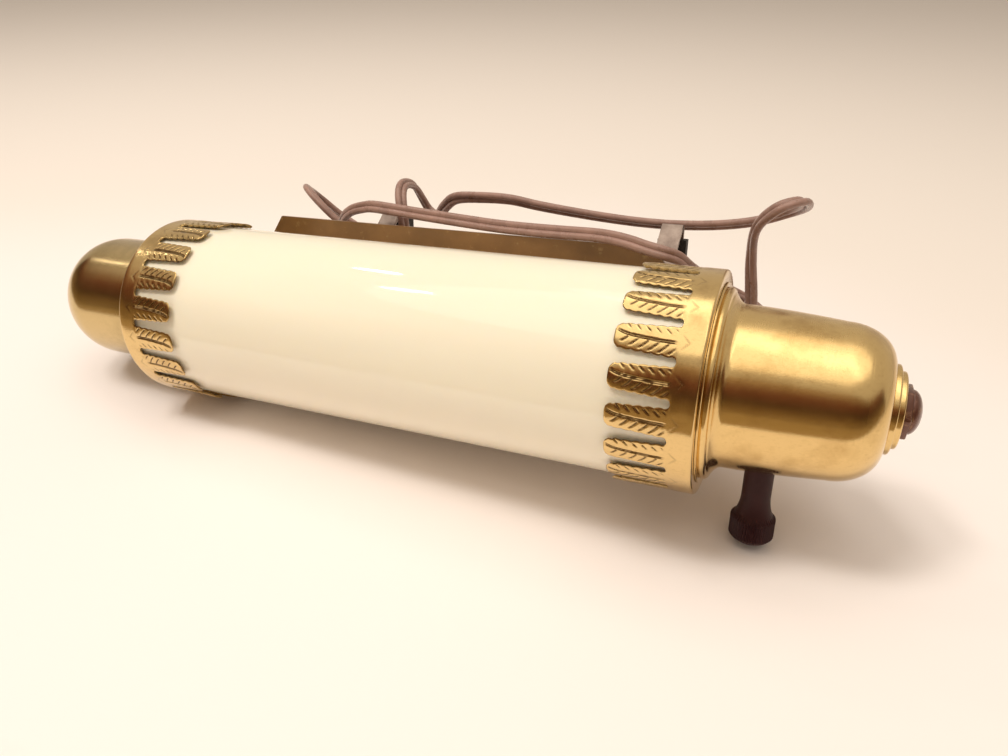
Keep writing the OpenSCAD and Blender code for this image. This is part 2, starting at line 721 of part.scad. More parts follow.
// Hand-chosen points of the cord: along the lamp, behind the plate's back and above the plate's top.
// The front stretch runs along the plate's top, turns back at the left end and climbs over the left hook
front_points = [
    [114, 27, -29.2], [103, 28.6, -21.9], [92.5, 19.1, -15.3], [85.6, 8.6, -8.6], [81.6, 0.4, -3.2],
    [77.4, -3.4, -1.1], [71.2, -4, 0.3], [64.6, -3.9, 1.9], [55.3, -3, 2.9], [40, -1.6, 2.7],
    [27.6, -0.8, 2.6], [16.2, 0.2, 2.7], [4.5, 1.6, 3.1], [-16.8, 3.4, 4.2], [-29.7, 4.4, 5],
    [-39.6, 5.2, 5.5], [-44.8, 6.2, 5], [-53.6, 8.7, 2.5], [-61, 12.8, -3], [-62, 16.5, -12.3],
    [-56.5, 21.4, -24], [-47.5, 29.1, -32.4], [-38.5, 39.8, -35.1], [-44.5, 49.2, -30.8], [-56, 44.4, -22.1],
    [-67, 34, -13.1], [-75.6, 27.6, -4.2], [-83.9, 25.9, 4], [-91.3, 31.3, 7.2], [-93, 41.6, 2],
    [-85, 49.4, -8.3], [-69.5, 52.1, -17.1], [-55, 51.8, -20.8], [-40.5, 42, -20.2],
    [-30.5, 21.4, -14.2], [-29.6, 11.6, -5.8], [-30.6, 11, 4]];
// The back stretch runs over the right hook, bends back at its tip and drops behind the lamp
back_points = [
    [-32.6, 13.6, 9.6], [-34.2, 18, 12.6], [-34.9, 23.6, 13], [-35, 29.2, 11.2], [-34.9, 34, 6.6],
    [-33, 37.2, 0.8], [-27.5, 34.8, -1.2], [-21, 28.8, 3.6], [-13.1, 23.6, 8.2], [-1.6, 22, 9.4],
    [11.4, 21.6, 9.4],
    [23.6, 22.2, 7.6], [37.5, 22.8, 6], [50, 24, 4.7], [62, 25.2, 3.8], [75, 25.9, 3.6], [90, 25.8, 4.7],
    [102.5, 27, 6.8], [112.5, 26.9, 10.4], [117.5, 18.6, 13.9], [116.5, 8.3, 16.7], [110, 3.5, 14.6],
    [104, 9.7, 7], [103, 18.2, -5.1], [104.5, 22.1, -21.3], [104.5, 24, -37.7]];
// The last stretch lies on the table, from under the right end to the coil
low_points = [[99, 45, 14.5], [86, 53, 4.6], [66, 57, 3], [38, 55, 2.8], [8, 52, 3], [-20, 51.2, 3.6]];
tail_points = [[-58, 51.2, 9.8], [-66, 51, 9.2], [-76, 50.5, 7.4], [-85, 50, 6.1], [-91.8, 50, 6]];
ring_gap = 12;

// Points on a smooth curve through a route
function on_curve(a, b, c, d, t) = (2 * b + (c - a) * t + (2 * a - 5 * b + 4 * c - d) * t * t
    + (3 * b - a - 3 * c + d) * t * t * t) / 2;
function smooth(route, gap = ring_gap) = let(last = len(route) - 1) concat(
    [for (i = [0:last - 1]) let(n = max(1, round(norm(route[i + 1] - route[i]) / gap))) for (j = [0:n - 1])
        on_curve(route[max(i - 1, 0)], route[i], route[i + 1], route[min(i + 2, last)], j / n)],
    [route[last]]);
function run_length(path, i = 0) = i == len(path) - 1 ? 0 : norm(path[i + 1] - path[i]) + run_length(path, i + 1);

// A direction square to each stretch of a path, carried along it without twisting
function headings(path) = [for (i = [0:len(path) - 1])
    let(run = path[min(i + 1, len(path) - 1)] - path[max(i - 1, 0)]) run / norm(run)];
function squared(v, along) = let(s = v - (v * along) * along) s / norm(s);
function sides(along, found) = len(found) == len(along) ? found
    : sides(along, concat(found, [squared(found[len(found) - 1], along[len(found)])]));

// A tube along the stretch of a path between two of its points
module swept_tube(path, d, around, first = 0, end = -1) {
    along = headings(path);
    side = sides(along, [squared([0, 0, 1], along[0])]);
    final = end < 0 ? len(path) - 1 : end;
    points = [for (i = [first:final]) let(up = cross(along[i], side[i])) for (k = [0:around - 1])
        path[i] + d / 2 * (cos(360 * k / around) * side[i] + sin(360 * k / around) * up)];
    last = (final - first) * around;
    faces = concat([[for (k = [0:around - 1]) k]], [[for (k = [around - 1:-1:0]) last + k]],
        [for (i = [0:final - first - 1]) for (k = [0:around - 1])
            let(a = i * around + k, b = i * around + (k + 1) % around)
            for (f = [[a, a + around, b], [b, a + around, b + around]]) f]);
    polyhedron(points = points, faces = faces);
}

// The cord starts square on the end of its sleeve
sleeve_end = cup_r + sleeve_l;
front_route = concat([placed([knob_x, sleeve_end, 0]), placed([knob_x, sleeve_end + 8, 0])],
    [for (p = front_points) placed([p.x, plate_back + p.y, plate_up + p.z])]);
back_route = concat([for (p = back_points) placed([p.x, plate_back + p.y, plate_up + p.z])], low_points, [coil_path[0]]);
cord_path = smooth(concat(front_route, back_route));
front_end = len(smooth(front_route)) - 1;
tail_path = smooth(concat([coil_path[len(coil_path) - 1]], tail_points));

coil_gap = min([for (i = [0:len(coil_path) - 1]) for (j = [i + loop_rings / 2:1:len(coil_path) - 1])
    norm(coil_path[i] - coil_path[j])]) - cord_d;
echo(least_gap_of_coil = coil_gap, coil_length = run_length(coil_path),
    cord_length = run_length(cord_path) + run_length(coil_path) + run_length(tail_path));

module cord_front() {
    color("#6f5248") swept_tube(cord_path, cord_d, 8, 0, front_end);
}

module cord_back() {
    color("#6f5248") swept_tube(cord_path, cord_d, 8, front_end);
}

module cord_coil() {
    color("#6f5248") swept_tube(coil_path, cord_d, 6);
}

module cord_tail() {
    color("#6f5248") swept_tube(tail_path, cord_d, 8);
}

// Tie: a flat band round the coil's loops
module cord_tie() {
    band = 0.7;
    loops_in = coil_at.x + coil_in_r - cord_d / 2 - seat;
    loops_out = coil_at.x + coil_in_r + layer_loops * coil_pitch + cord_d / 2 + seat;
    low = coil_low - cord_d / 2 - seat;
    high = coil_low + coil_rise + cord_d / 2 + seat;
    color("#2f2a28") difference() {
        slab([loops_in - band, coil_at.y - 2, low - band], [loops_out + band, coil_at.y + 2, high + band]);
        slab([loops_in, coil_at.y - 3, low], [loops_out, coil_at.y + 3, high]);
    }
}

// Plug: a flat body, waisted towards the cord, with two flat blades
plug_at = [-92, 50, 6];
module plug_body() {
    half = plug_w / 2;
    color("#4a3a33") translate([plug_at.x, plug_at.y, plug_at.z - plug_h / 2]) linear_extrude(height = plug_h)
        polygon([[0, -4], [0, 4], [-plug_l * 0.3, half * 0.7], [-plug_l * 0.55, half], [-plug_l + 1.5, half],
            [-plug_l, half - 1.5], [-plug_l, 1.5 - half], [-plug_l + 1.5, -half], [-plug_l * 0.55, -half],
            [-plug_l * 0.3, -half * 0.7]]);
}

module plug_blades() {
    blade_l = 17;
    blade_w = 6.4;
    blade_t = 1.5;
    blade_spacing = 12.7;
    color("#c8b98f") for (s = [-1, 1]) translate([plug_at.x - plug_l - blade_l,
        plug_at.y + s * blade_spacing / 2 - blade_t / 2, plug_at.z - blade_w / 2]) cube([blade_l, blade_t, blade_w]);
}

glass_tube();
right_gallery();
left_gallery();
right_felt_ring();
left_felt_ring();
right_cup();
left_cap();
check_ring();
cap_nut();
nipple();
nipple_locknuts();
socket_strap();
strap_screws();
socket_shell();
socket_insulator();
screw_shell();
centre_contact();
terminal_screws();
switch_body();
switch_shaft();
switch_knob();
bulb_glass();
bulb_base();
bulb_filament();
back_plate();
right_end_bracket();
left_end_bracket();
bracket_rivets();
gallery_screws();
right_hook();
left_hook();
hook_rivets();
right_hook_pad();
left_hook_pad();
lead_wires();
cord_sleeve();
cord_front();
cord_back();
cord_coil();
cord_tie();
cord_tail();
plug_body();
plug_blades();
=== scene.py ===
"""Looks of a headboard reading lamp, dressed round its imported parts.

The lamp's pieces are drawn in millimetres about the lamp's own axis: X along the glass tube,
Y towards the headboard and Z up in use. They are then placed in the resting pose, in metres.
"""

import json
import logging
from collections.abc import Sequence
from dataclasses import dataclass
from enum import Enum
from math import atan2, copysign, cos, exp, pi, radians, sin, sqrt, tau

import bpy
from bpy.types import Material, Node
from bpy.types import NodeSocket as Socket
from bpy.types import Object as Thing
from mathutils import Matrix, Quaternion, Vector, noise


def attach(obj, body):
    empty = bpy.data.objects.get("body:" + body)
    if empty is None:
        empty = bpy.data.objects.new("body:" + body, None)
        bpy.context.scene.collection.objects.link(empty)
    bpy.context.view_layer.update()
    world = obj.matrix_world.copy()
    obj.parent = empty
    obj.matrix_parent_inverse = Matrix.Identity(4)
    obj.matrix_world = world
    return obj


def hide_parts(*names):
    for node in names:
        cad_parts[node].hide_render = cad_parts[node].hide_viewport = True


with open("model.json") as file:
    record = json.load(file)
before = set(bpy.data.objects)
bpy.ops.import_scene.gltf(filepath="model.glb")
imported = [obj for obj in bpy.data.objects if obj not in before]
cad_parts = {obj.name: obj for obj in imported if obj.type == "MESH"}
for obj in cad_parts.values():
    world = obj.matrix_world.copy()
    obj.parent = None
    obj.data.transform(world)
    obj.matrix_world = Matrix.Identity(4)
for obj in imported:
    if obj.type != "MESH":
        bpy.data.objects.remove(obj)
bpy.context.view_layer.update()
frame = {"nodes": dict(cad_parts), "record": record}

log = logging.getLogger("reading_lamp")
Pair = tuple[float, float]
Point = tuple[float, float, float]
Outline = list[Pair]
Inputs = dict[str | int, object]
MM = 0.001


class End(Enum):
    """The two ends of the lamp, as the sign of their place along its axis."""

    RIGHT = 1
    LEFT = -1


class Turning(Enum):
    """The lines that a piece is turned about, as the way each one runs."""

    LAMP = (1, 0, 0)
    KNOB = (0, 0, 1)


@dataclass(frozen=True)
class RestingPose:
    """How the lamp lies on the table."""

    tip_up: float = radians(4.24239)
    roll_back: float = radians(11.0367)
    lift: float = 40.617
    middle: Pair = (1.76259, 15.1735)

    def matrix(self) -> Matrix:
        """The move from the lamp's own millimetres to the row frame's metres.

        Returns:
            The matrix.
        """
        shift = Matrix.Translation((-self.middle[0], -self.middle[1], self.lift))
        turn = Matrix.Rotation(-self.tip_up, 4, "Y") @ Matrix.Rotation(-self.roll_back, 4, "X")
        return Matrix.Scale(MM, 4) @ shift @ turn


@dataclass(frozen=True)
class LampSizes:
    """The lamp's main sizes in millimetres. All but the bead's radius are those of its solids."""

    gallery_r: float = 33.3
    gallery_l: float = 24.0
    rim_x: float = 101.3
    hole_r: float = 19.0
    bend_r: float = 0.8
    cup_r: float = 23.4
    cup_sheet: float = 0.8
    bead_r: float = 28.4
    bead_w: float = 2.6
    cup_end: float = 146.85
    knob_x: float = 117.5
    knob_end_r: float = 49.2
    plate_back: float = 35.4
    plate_up: float = 31.6
    nipple_r: float = 3.15


POSE = RestingPose()
LAMP = LampSizes()


def arc(
    along: float, out: float, r: float, start: float, end: float, steps: int, rise: float = 0.0
) -> Outline:
    """Points of an arc in an outline.

    Args:
        along: The centre's place along the axis.
        out: The centre's distance from the axis.
        r: The arc's radius.
        start: The first angle in degrees, from the axis outwards.
        end: The last angle in degrees.
        steps: The number of chords.
        rise: The radius away from the axis, where it is not the same.

    Returns:
        The points, the first and last ones among them.
    """
    turns = [radians(start + (end - start) * i / steps) for i in range(steps + 1)]
    return [(along + r * cos(a), out + (rise or r) * sin(a)) for a in turns]


def smoothstep(low: float, high: float, x: float) -> float:
    """Rises smoothly from 0 at low to 1 at high."""
    t = min(max((x - low) / (high - low), 0.0), 1.0)
    return t * t * (3 - 2 * t)


def clear() -> None:
    """Leaves edit mode and deselects everything."""
    if bpy.context.object and bpy.context.object.mode != "OBJECT":
        bpy.ops.object.mode_set(mode="OBJECT")
    bpy.ops.object.select_all(action="DESELECT")


def take(obj: Thing) -> None:
    """Selects one object alone and makes it active.

    Args:
        obj: The object.
    """
    clear()
    obj.select_set(True)
    bpy.context.view_layer.objects.active = obj


def edit(obj: Thing) -> None:
    """Opens an object in edit mode with all of it selected.

    Args:
        obj: The object, which has a mesh.
    """
    take(obj)
    bpy.ops.object.mode_set(mode="EDIT")
    bpy.ops.mesh.select_all(action="SELECT")


def added(name: str, data: bpy.types.ID) -> Thing:
    """Puts a new object for some data in the scene.

    Args:
        name: The object's name.
        data: What the object shows, such as a mesh or a light.

    Returns:
        The new object.
    """
    obj = bpy.data.objects.new(name, data)
    bpy.context.scene.collection.objects.link(obj)
    return obj


def named(name: str) -> Thing:
    """Names the primitive that was just added and brings its place into its mesh.

    Args:
        name: The name of the object and of its mesh.

    Returns:
        The primitive's object.
    """
    obj = bpy.context.object
    obj.name = obj.data.name = name
    bpy.ops.object.transform_apply(location=True, rotation=True, scale=True)
    return obj


def close_up(obj: Thing, gap: float = 0.002) -> None:
    """Merges doubled points and turns the faces outwards.

    Args:
        obj: The piece, a closed shell.
        gap: The widest gap that is merged.
    """
    edit(obj)
    bpy.ops.mesh.remove_doubles(threshold=gap)
    bpy.ops.mesh.normals_make_consistent(inside=False)
    clear()


def apply_step(obj: Thing, kind: str, **settings: object) -> None:
    """Puts a modifier on a piece and applies it.

    Args:
        obj: The piece.
        kind: The modifier's type.
        **settings: Its properties.
    """
    take(obj)
    step = obj.modifiers.new("step", kind)
    for key, value in settings.items():
        setattr(step, key, value)
    bpy.ops.object.modifier_apply(modifier=step.name)


def thicken(obj: Thing, thickness: float) -> None:
    """Gives a sheet its thickness, grown inwards."""
    apply_step(obj, "SOLIDIFY", thickness=thickness, offset=-1.0)


def cut(obj: Thing, cutter: Thing) -> None:
    """Cuts one closed piece out of another and throws the cutter away."""
    apply_step(obj, "BOOLEAN", object=cutter, operation="DIFFERENCE", solver="EXACT")
    bpy.data.objects.remove(cutter, do_unlink=True)


def join(name: str, parts: Sequence[Thing]) -> Thing:
    """Joins several objects into one.

    Args:
        name: The whole piece's name.
        parts: The objects, the one that takes the others in first.

    Returns:
        The whole piece.
    """
    clear()
    for part in parts:
        part.select_set(True)
    bpy.context.view_layer.objects.active = parts[0]
    bpy.ops.object.join()
    joined = bpy.context.object
    joined.name = joined.data.name = name
    return joined


def rod(name: str, start: Point, end: Point, r: float, sides: int) -> Thing:
    """Adds a cylinder between two points.

    Args:
        name: The cylinder's name.
        start: The middle of its first end.
        end: The middle of its other end.
        r: Its radius.
        sides: The number of its sides.

    Returns:
        The cylinder.
    """
    clear()
    a, b = Vector(start), Vector(end)
    middle, depth = (a + b) / 2, (b - a).length
    bpy.ops.mesh.primitive_cylinder_add(vertices=sides, radius=r, depth=depth, location=middle)
    bpy.context.object.rotation_euler = (b - a).to_track_quat("Z", "Y").to_euler()
    return named(name)


def turned(
    name: str, outline: Outline, steps: int, about: Turning = Turning.LAMP, at: Point = (0, 0, 0)
) -> Thing:
    """Draws an outline point by point, back to its first point, and spins it about a line.

    Args:
        name: The piece's name.
        outline: Places along the line, and distances from it.
        steps: The number of steps round the line.
        about: The line's direction.
        at: A point of the line, from which places along it count.

    Returns:
        The turned piece, in the lamp's own millimetres.
    """
    clear()
    axis = Vector(about.value)
    out = Vector((0, 0, 1)) if about is Turning.LAMP else Vector((1, 0, 0))
    spots = [Vector(at) + axis * along + out * r for along, r in outline]
    spots.append(spots[0])
    bpy.ops.mesh.primitive_plane_add(size=1, location=spots[0])
    piece = named(name)
    edit(piece)
    bpy.ops.mesh.merge(type="CENTER")
    for a, b in zip(spots, spots[1:]):
        bpy.ops.mesh.extrude_region_move(TRANSFORM_OT_translate={"value": b - a})
    bpy.ops.mesh.select_all(action="SELECT")
    bpy.ops.mesh.remove_doubles(threshold=0.001)
    bpy.ops.mesh.select_all(action="SELECT")
    bpy.ops.mesh.spin(steps=steps, angle=tau, center=at, axis=about.value)
    close_up(piece)
    return piece


def place(obj: Thing) -> None:
    """Moves a finished piece's mesh to the resting pose, with its object at the origin.

    Args:
        obj: The piece, made in the lamp's own millimetres.
    """
    obj.data.transform(POSE.matrix())
    obj.matrix_world = Matrix.Identity(4)
    obj.data.update()


def dress(obj: Thing, finish: Material, angle: float) -> None:
    """Shades a piece smooth and gives it its one material.

    Args:
        obj: The piece.
        finish: The material.
        angle: The widest angle in degrees that is shaded smooth.
    """
    take(obj)
    bpy.ops.object.shade_smooth_by_angle(angle=radians(angle))
    obj.data.materials.clear()
    obj.data.materials.append(finish)


class NodeBoard:
    """A node tree, and what is laid on it."""

    def __init__(self, owner: Material | bpy.types.World) -> None:
        """Opens the node tree of a material or a world."""
        owner.use_nodes = True
        self.tree = owner.node_tree

    def feed(self, node: Node, inputs: Inputs) -> None:
        """Fills a node's inputs: a socket is linked, and any other value is set.

        Args:
            node: The node.
            inputs: The sockets and values, by the inputs' names or numbers.
        """
        for key, value in inputs.items():
            if isinstance(value, Socket):
                self.tree.links.new(value, node.inputs[key])
            else:
                node.inputs[key].default_value = value

    def node(self, kind: str, inputs: Inputs, **settings: str) -> Node:
        """Adds a node.

        Args:
            kind: The node's type.
            inputs: The sockets and values that go in.
            **settings: Its properties.

        Returns:
            The node.
        """
        made = self.tree.nodes.new(kind)
        for key, value in settings.items():
            setattr(made, key, value)
        self.feed(made, inputs)
        return made


@dataclass(frozen=True)
class Clouds:
    """A noise pattern: its scale, its octaves, how strong the finer ones are, and its stretch."""

    scale: float
    octaves: float
    roughness: float = 0.55
    stretch: Point = (1, 1, 1)


class FinishBoard(NodeBoard):
    """A material's node tree, with the patterns that the finishes share."""

    def __init__(self, name: str) -> None:
        """Starts a material with its shader.

        Args:
            name: The material's name.
        """
        self.material = bpy.data.materials.new(name)
        super().__init__(self.material)
        self.shader = self.tree.nodes["Principled BSDF"]

    def set(self, **inputs: object) -> None:
        """Fills the shader's own inputs, named with underscores for spaces."""
        self.feed(self.shader, {key.replace("_", " "): value for key, value in inputs.items()})

    def places(self, scale: Point = (1, 1, 1), along_lamp: bool = True) -> Socket:
        """The object's coordinates, turned so that X runs along the lamp.

        Args:
            scale: How much each direction is stretched.
            along_lamp: Whether the coordinates are turned at all.

        Returns:
            The vector socket.
        """
        coords = self.node("ShaderNodeTexCoord", {}).outputs["Object"]
        turn = (0, POSE.tip_up if along_lamp else 0, 0)
        vector = self.node("ShaderNodeMapping", {"Rotation": turn, "Vector": coords}).outputs[0]
        return self.node("ShaderNodeMapping", {"Scale": scale, "Vector": vector}).outputs[0]

    def clouds(self, pattern: Clouds, along_lamp: bool = True) -> Socket:
        """Lays a noise pattern.

        Args:
            pattern: The pattern.
            along_lamp: Whether it is turned along the lamp.

        Returns:
            The pattern's value socket.
        """
        inputs = {"Scale": pattern.scale, "Detail": pattern.octaves, "Roughness": pattern.roughness}
        inputs["Vector"] = self.places(pattern.stretch, along_lamp)
        return self.node("ShaderNodeTexNoise", inputs).outputs["Fac"]

    def ramp(self, value: Socket, stops: Sequence[tuple[float, Point]]) -> Socket:
        """Turns a value into a colour.

        Args:
            value: The value, from 0 to 1.
            stops: Places on the ramp and their colours.

        Returns:
            The colour socket.
        """
        made = self.node("ShaderNodeValToRGB", {"Fac": value})
        ends = made.color_ramp.elements
        while len(ends) < len(stops):
            ends.new(0.5)
        for end, (where, colour) in zip(ends, stops):
            end.position = where
            end.color = (*colour, 1)
        return made.outputs["Color"]

    def between(
        self, value: Socket, low: float, high: float, start: float = 0.0, end: float = 1.0
    ) -> Socket:
        """Maps a value that runs from start to end onto low to high."""
        inputs = {"Value": value, "From Min": start, "From Max": end, "To Min": low, "To Max": high}
        return self.node("ShaderNodeMapRange", inputs).outputs["Result"]

    def mixed(self, share: Socket, first: Socket | Point, second: Point) -> Socket:
        """Mixes two colours.

        Args:
            share: How much of the second one shows.
            first: A colour or its socket.
            second: A colour.

        Returns:
            The mixed colour's socket.
        """
        if not isinstance(first, Socket):
            first = (*first, 1)
        inputs = {"Factor": share, 6: first, 7: (*second, 1)}
        return self.node("ShaderNodeMix", inputs, data_type="RGBA").outputs[2]

    def sum_of(self, a: Socket, b: Socket, share: float) -> Socket:
        """Adds a share of one value to another."""
        return self.node("ShaderNodeMath", {0: b, 1: share, 2: a}, operation="MULTIPLY_ADD").outputs[0]

    def relief(self, height: Socket, strength: float, depth: float = 0.0002) -> None:
        """Gives the shader a bump of a depth in metres, from a height pattern."""
        inputs = {"Height": height, "Strength": strength, "Distance": depth}
        self.set(Normal=self.node("ShaderNodeBump", inputs).outputs["Normal"])


@dataclass(frozen=True)
class BrassFinish:
    """Brass sheet: clear metal, brown tarnish in clouds, and turning lines round the lamp."""

    name: str
    bright: Point = (0.80, 0.58, 0.27)
    tarnish: Point = (0.47, 0.29, 0.12)
    tarnish_share: Pair = (0.50, 0.72)
    roughness: Pair = (0.13, 0.30)
    lines: float = 0.10
    dusty: float = 0.12
    engraved: bool = False
    # Colour laid in the pressed lines and leaf outlines: partly brass oxide, partly painted shade of the
    # grooves and the sheet's edges.
    oxide_and_shade_in_lines: Point = (0.10, 0.052, 0.020)
    patches: Clouds = Clouds(55.0, 6.0, 0.62)
    spots: Clouds = Clouds(1.0, 5.0, 0.7, (1000, 1500, 1500))
    wear: Clouds = Clouds(130.0, 5.0)
    turning: Clouds = Clouds(1.0, 2.0, stretch=(2600, 25, 25))
    grain: Clouds = Clouds(2400.0, 2.0)

    def made(self) -> Material:
        """Builds the material.

        Returns:
            The material.
        """
        board = FinishBoard(self.name)
        stops = list(zip(self.tarnish_share, (self.bright, self.tarnish)))
        spots = board.between(board.clouds(self.spots), 0.0, 0.45, 0.54, 0.78)
        colour = board.mixed(spots, board.ramp(board.clouds(self.patches), stops), self.tarnish)
        rough = board.between(board.clouds(self.wear), *self.roughness, 0.3, 0.7)
        lines = board.clouds(self.turning)
        rough = board.sum_of(rough, lines, 0.06)
        normal = board.node("ShaderNodeNewGeometry", {}).outputs["Normal"]
        upward = board.node("ShaderNodeSeparateXYZ", {0: normal}).outputs[2]
        rough = board.sum_of(rough, board.between(upward, 0.0, 1.0, 0.15, 0.95), self.dusty)
        # On engraved brass the pressed lines and the leaf outlines are darkened: partly oxide, partly painted
        # shade of the grooves and edges.
        if self.engraved:
            mark = board.node("ShaderNodeAttribute", {}, attribute_name="engraving").outputs["Fac"]
            colour = board.mixed(mark, colour, self.oxide_and_shade_in_lines)
            rough = board.sum_of(rough, mark, 0.30)
        board.set(Metallic=1.0, Base_Color=colour, Roughness=rough)
        board.relief(board.sum_of(lines, board.clouds(self.grain), 0.5), self.lines)
        return board.material


@dataclass(frozen=True)
class OpalGlassFinish:
    """White opal glass: a milky body under a polished skin."""

    name: str
    body: Point = (0.95, 0.865, 0.69)
    shaded: float = 0.95
    milk: Clouds = Clouds(1.0, 3.0, stretch=(6, 30, 30))
    ripples: Clouds = Clouds(1.0, 2.0, stretch=(10, 60, 60))

    def made(self) -> Material:
        """Builds the material.

        Returns:
            The material.
        """
        board = FinishBoard(self.name)
        darker = [c * self.shaded for c in self.body]
        colour = board.ramp(board.clouds(self.milk), [(0.35, darker), (0.65, self.body)])
        board.set(Base_Color=colour, Roughness=0.05, IOR=1.5, Coat_Weight=0.3, Coat_Roughness=0.03)
        board.set(Subsurface_Weight=0.25, Subsurface_Scale=0.004, Subsurface_Radius=(1.0, 0.85, 0.6))
        board.relief(board.clouds(self.ripples), 0.03, 0.0004)
        return board.material


@dataclass(frozen=True)
class ClearGlassFinish:
    """The bulb's thin clear glass, a little smeared."""

    name: str
    clean: Point = (0.96, 0.96, 0.94)
    smeared: Point = (0.92, 0.91, 0.88)
    smears: Clouds = Clouds(90.0, 3.0)

    def made(self) -> Material:
        """Builds the material.

        Returns:
            The material.
        """
        board = FinishBoard(self.name)
        smear = board.clouds(self.smears)
        colour = board.ramp(smear, [(0.3, self.clean), (0.8, self.smeared)])
        rough = board.between(smear, 0.01, 0.06, 0.4, 0.7)
        board.set(Transmission_Weight=1.0, IOR=1.45, Base_Color=colour, Roughness=rough)
        return board.material


@dataclass(frozen=True)
class MetalFinish:
    """Plated or plain steel and aluminium with dull clouds and fine scratches."""

    name: str
    bright: Point
    dull: Point
    roughness: Pair = (0.30, 0.50)
    patches: Clouds = Clouds(120.0, 6.0, 0.65)
    scratches: Clouds = Clouds(1.0, 3.0, stretch=(60, 2400, 900))

    def made(self) -> Material:
        """Builds the material.

        Returns:
            The material.
        """
        board = FinishBoard(self.name)
        clouds, scratches = board.clouds(self.patches), board.clouds(self.scratches)
        colour = board.ramp(clouds, [(0.38, self.bright), (0.68, self.dull)])
        rough = board.between(clouds, *self.roughness, 0.35, 0.7)
        board.set(Metallic=0.9, Base_Color=colour, Roughness=board.sum_of(rough, scratches, 0.08))
        board.relief(scratches, 0.12)
        return board.material


@dataclass(frozen=True)
class PaintFinish:
    """Bronze or brown enamel over metal, with brush clouds and rubbed spots."""

    name: str
    paint: Point
    rubbed: Point
    roughness: Pair = (0.28, 0.45)
    metallic: float = 0.35
    rub_share: Pair = (0.62, 0.74)
    shaded: float = 0.72
    brushing: Clouds = Clouds(42.0, 6.0, 0.6)
    rubs: Clouds = Clouds(260.0, 5.0, 0.7)
    grain: Clouds = Clouds(1400.0, 2.0)

    def made(self) -> Material:
        """Builds the material.

        Returns:
            The material.
        """
        board = FinishBoard(self.name)
        clouds = board.clouds(self.brushing)
        darker = [c * self.shaded for c in self.paint]
        colour = board.ramp(clouds, [(0.35, self.paint), (0.62, darker)])
        rub = board.between(board.clouds(self.rubs), 0.0, 0.8, *self.rub_share)
        rough = board.between(clouds, *self.roughness, 0.3, 0.7)
        board.set(Metallic=self.metallic, Coat_Weight=0.25, Coat_Roughness=0.15)
        board.set(Base_Color=board.mixed(rub, colour, self.rubbed), Roughness=rough)
        board.relief(board.clouds(self.grain), 0.10)
        return board.material


@dataclass(frozen=True)
class PlasticFinish:
    """Moulded plastic or rubber, with flow clouds, fine grain and dusty spots."""

    name: str
    colour: Point
    dust: Point
    roughness: Pair = (0.25, 0.40)
    relief: float = 0.08
    glow: float = 0.0
    ior: float = 1.5
    lighter: float = 1.35
    flow: Clouds = Clouds(160.0, 5.0, 0.6)
    specks: Clouds = Clouds(480.0, 6.0, 0.7)
    grain: Clouds = Clouds(2200.0, 3.0)

    def made(self) -> Material:
        """Builds the material.

        Returns:
            The material.
        """
        board = FinishBoard(self.name)
        if self.glow:
            board.set(Subsurface_Weight=self.glow, Subsurface_Scale=0.0015)
            board.set(Subsurface_Radius=(1.0, 0.55, 0.4))
        clouds = board.clouds(self.flow)
        lighter = [min(1.0, c * self.lighter) for c in self.colour]
        colour = board.ramp(clouds, [(0.35, self.colour), (0.7, lighter)])
        dusty = board.between(board.clouds(self.specks), 0.0, 0.5, 0.58, 0.8)
        rough = board.between(clouds, *self.roughness, 0.3, 0.7)
        board.set(IOR=self.ior, Base_Color=board.mixed(dusty, colour, self.dust), Roughness=rough)
        board.relief(board.clouds(self.grain), self.relief)
        return board.material


@dataclass(frozen=True)
class ClothFinish:
    """Pressed felt or cotton: short crossing fibres with a soft sheen."""

    name: str
    colour: Point
    fibre: Point
    fibres: Clouds = Clouds(2400.0, 6.0, 0.75)

    def made(self) -> Material:
        """Builds the material.

        Returns:
            The material.
        """
        board = FinishBoard(self.name)
        fibres = board.clouds(self.fibres)
        colour = board.ramp(fibres, [(0.4, self.colour), (0.62, self.fibre)])
        board.set(Base_Color=colour, Roughness=0.9, Sheen_Weight=0.3, Sheen_Roughness=0.5)
        board.relief(fibres, 0.5, 0.0004)
        return board.material


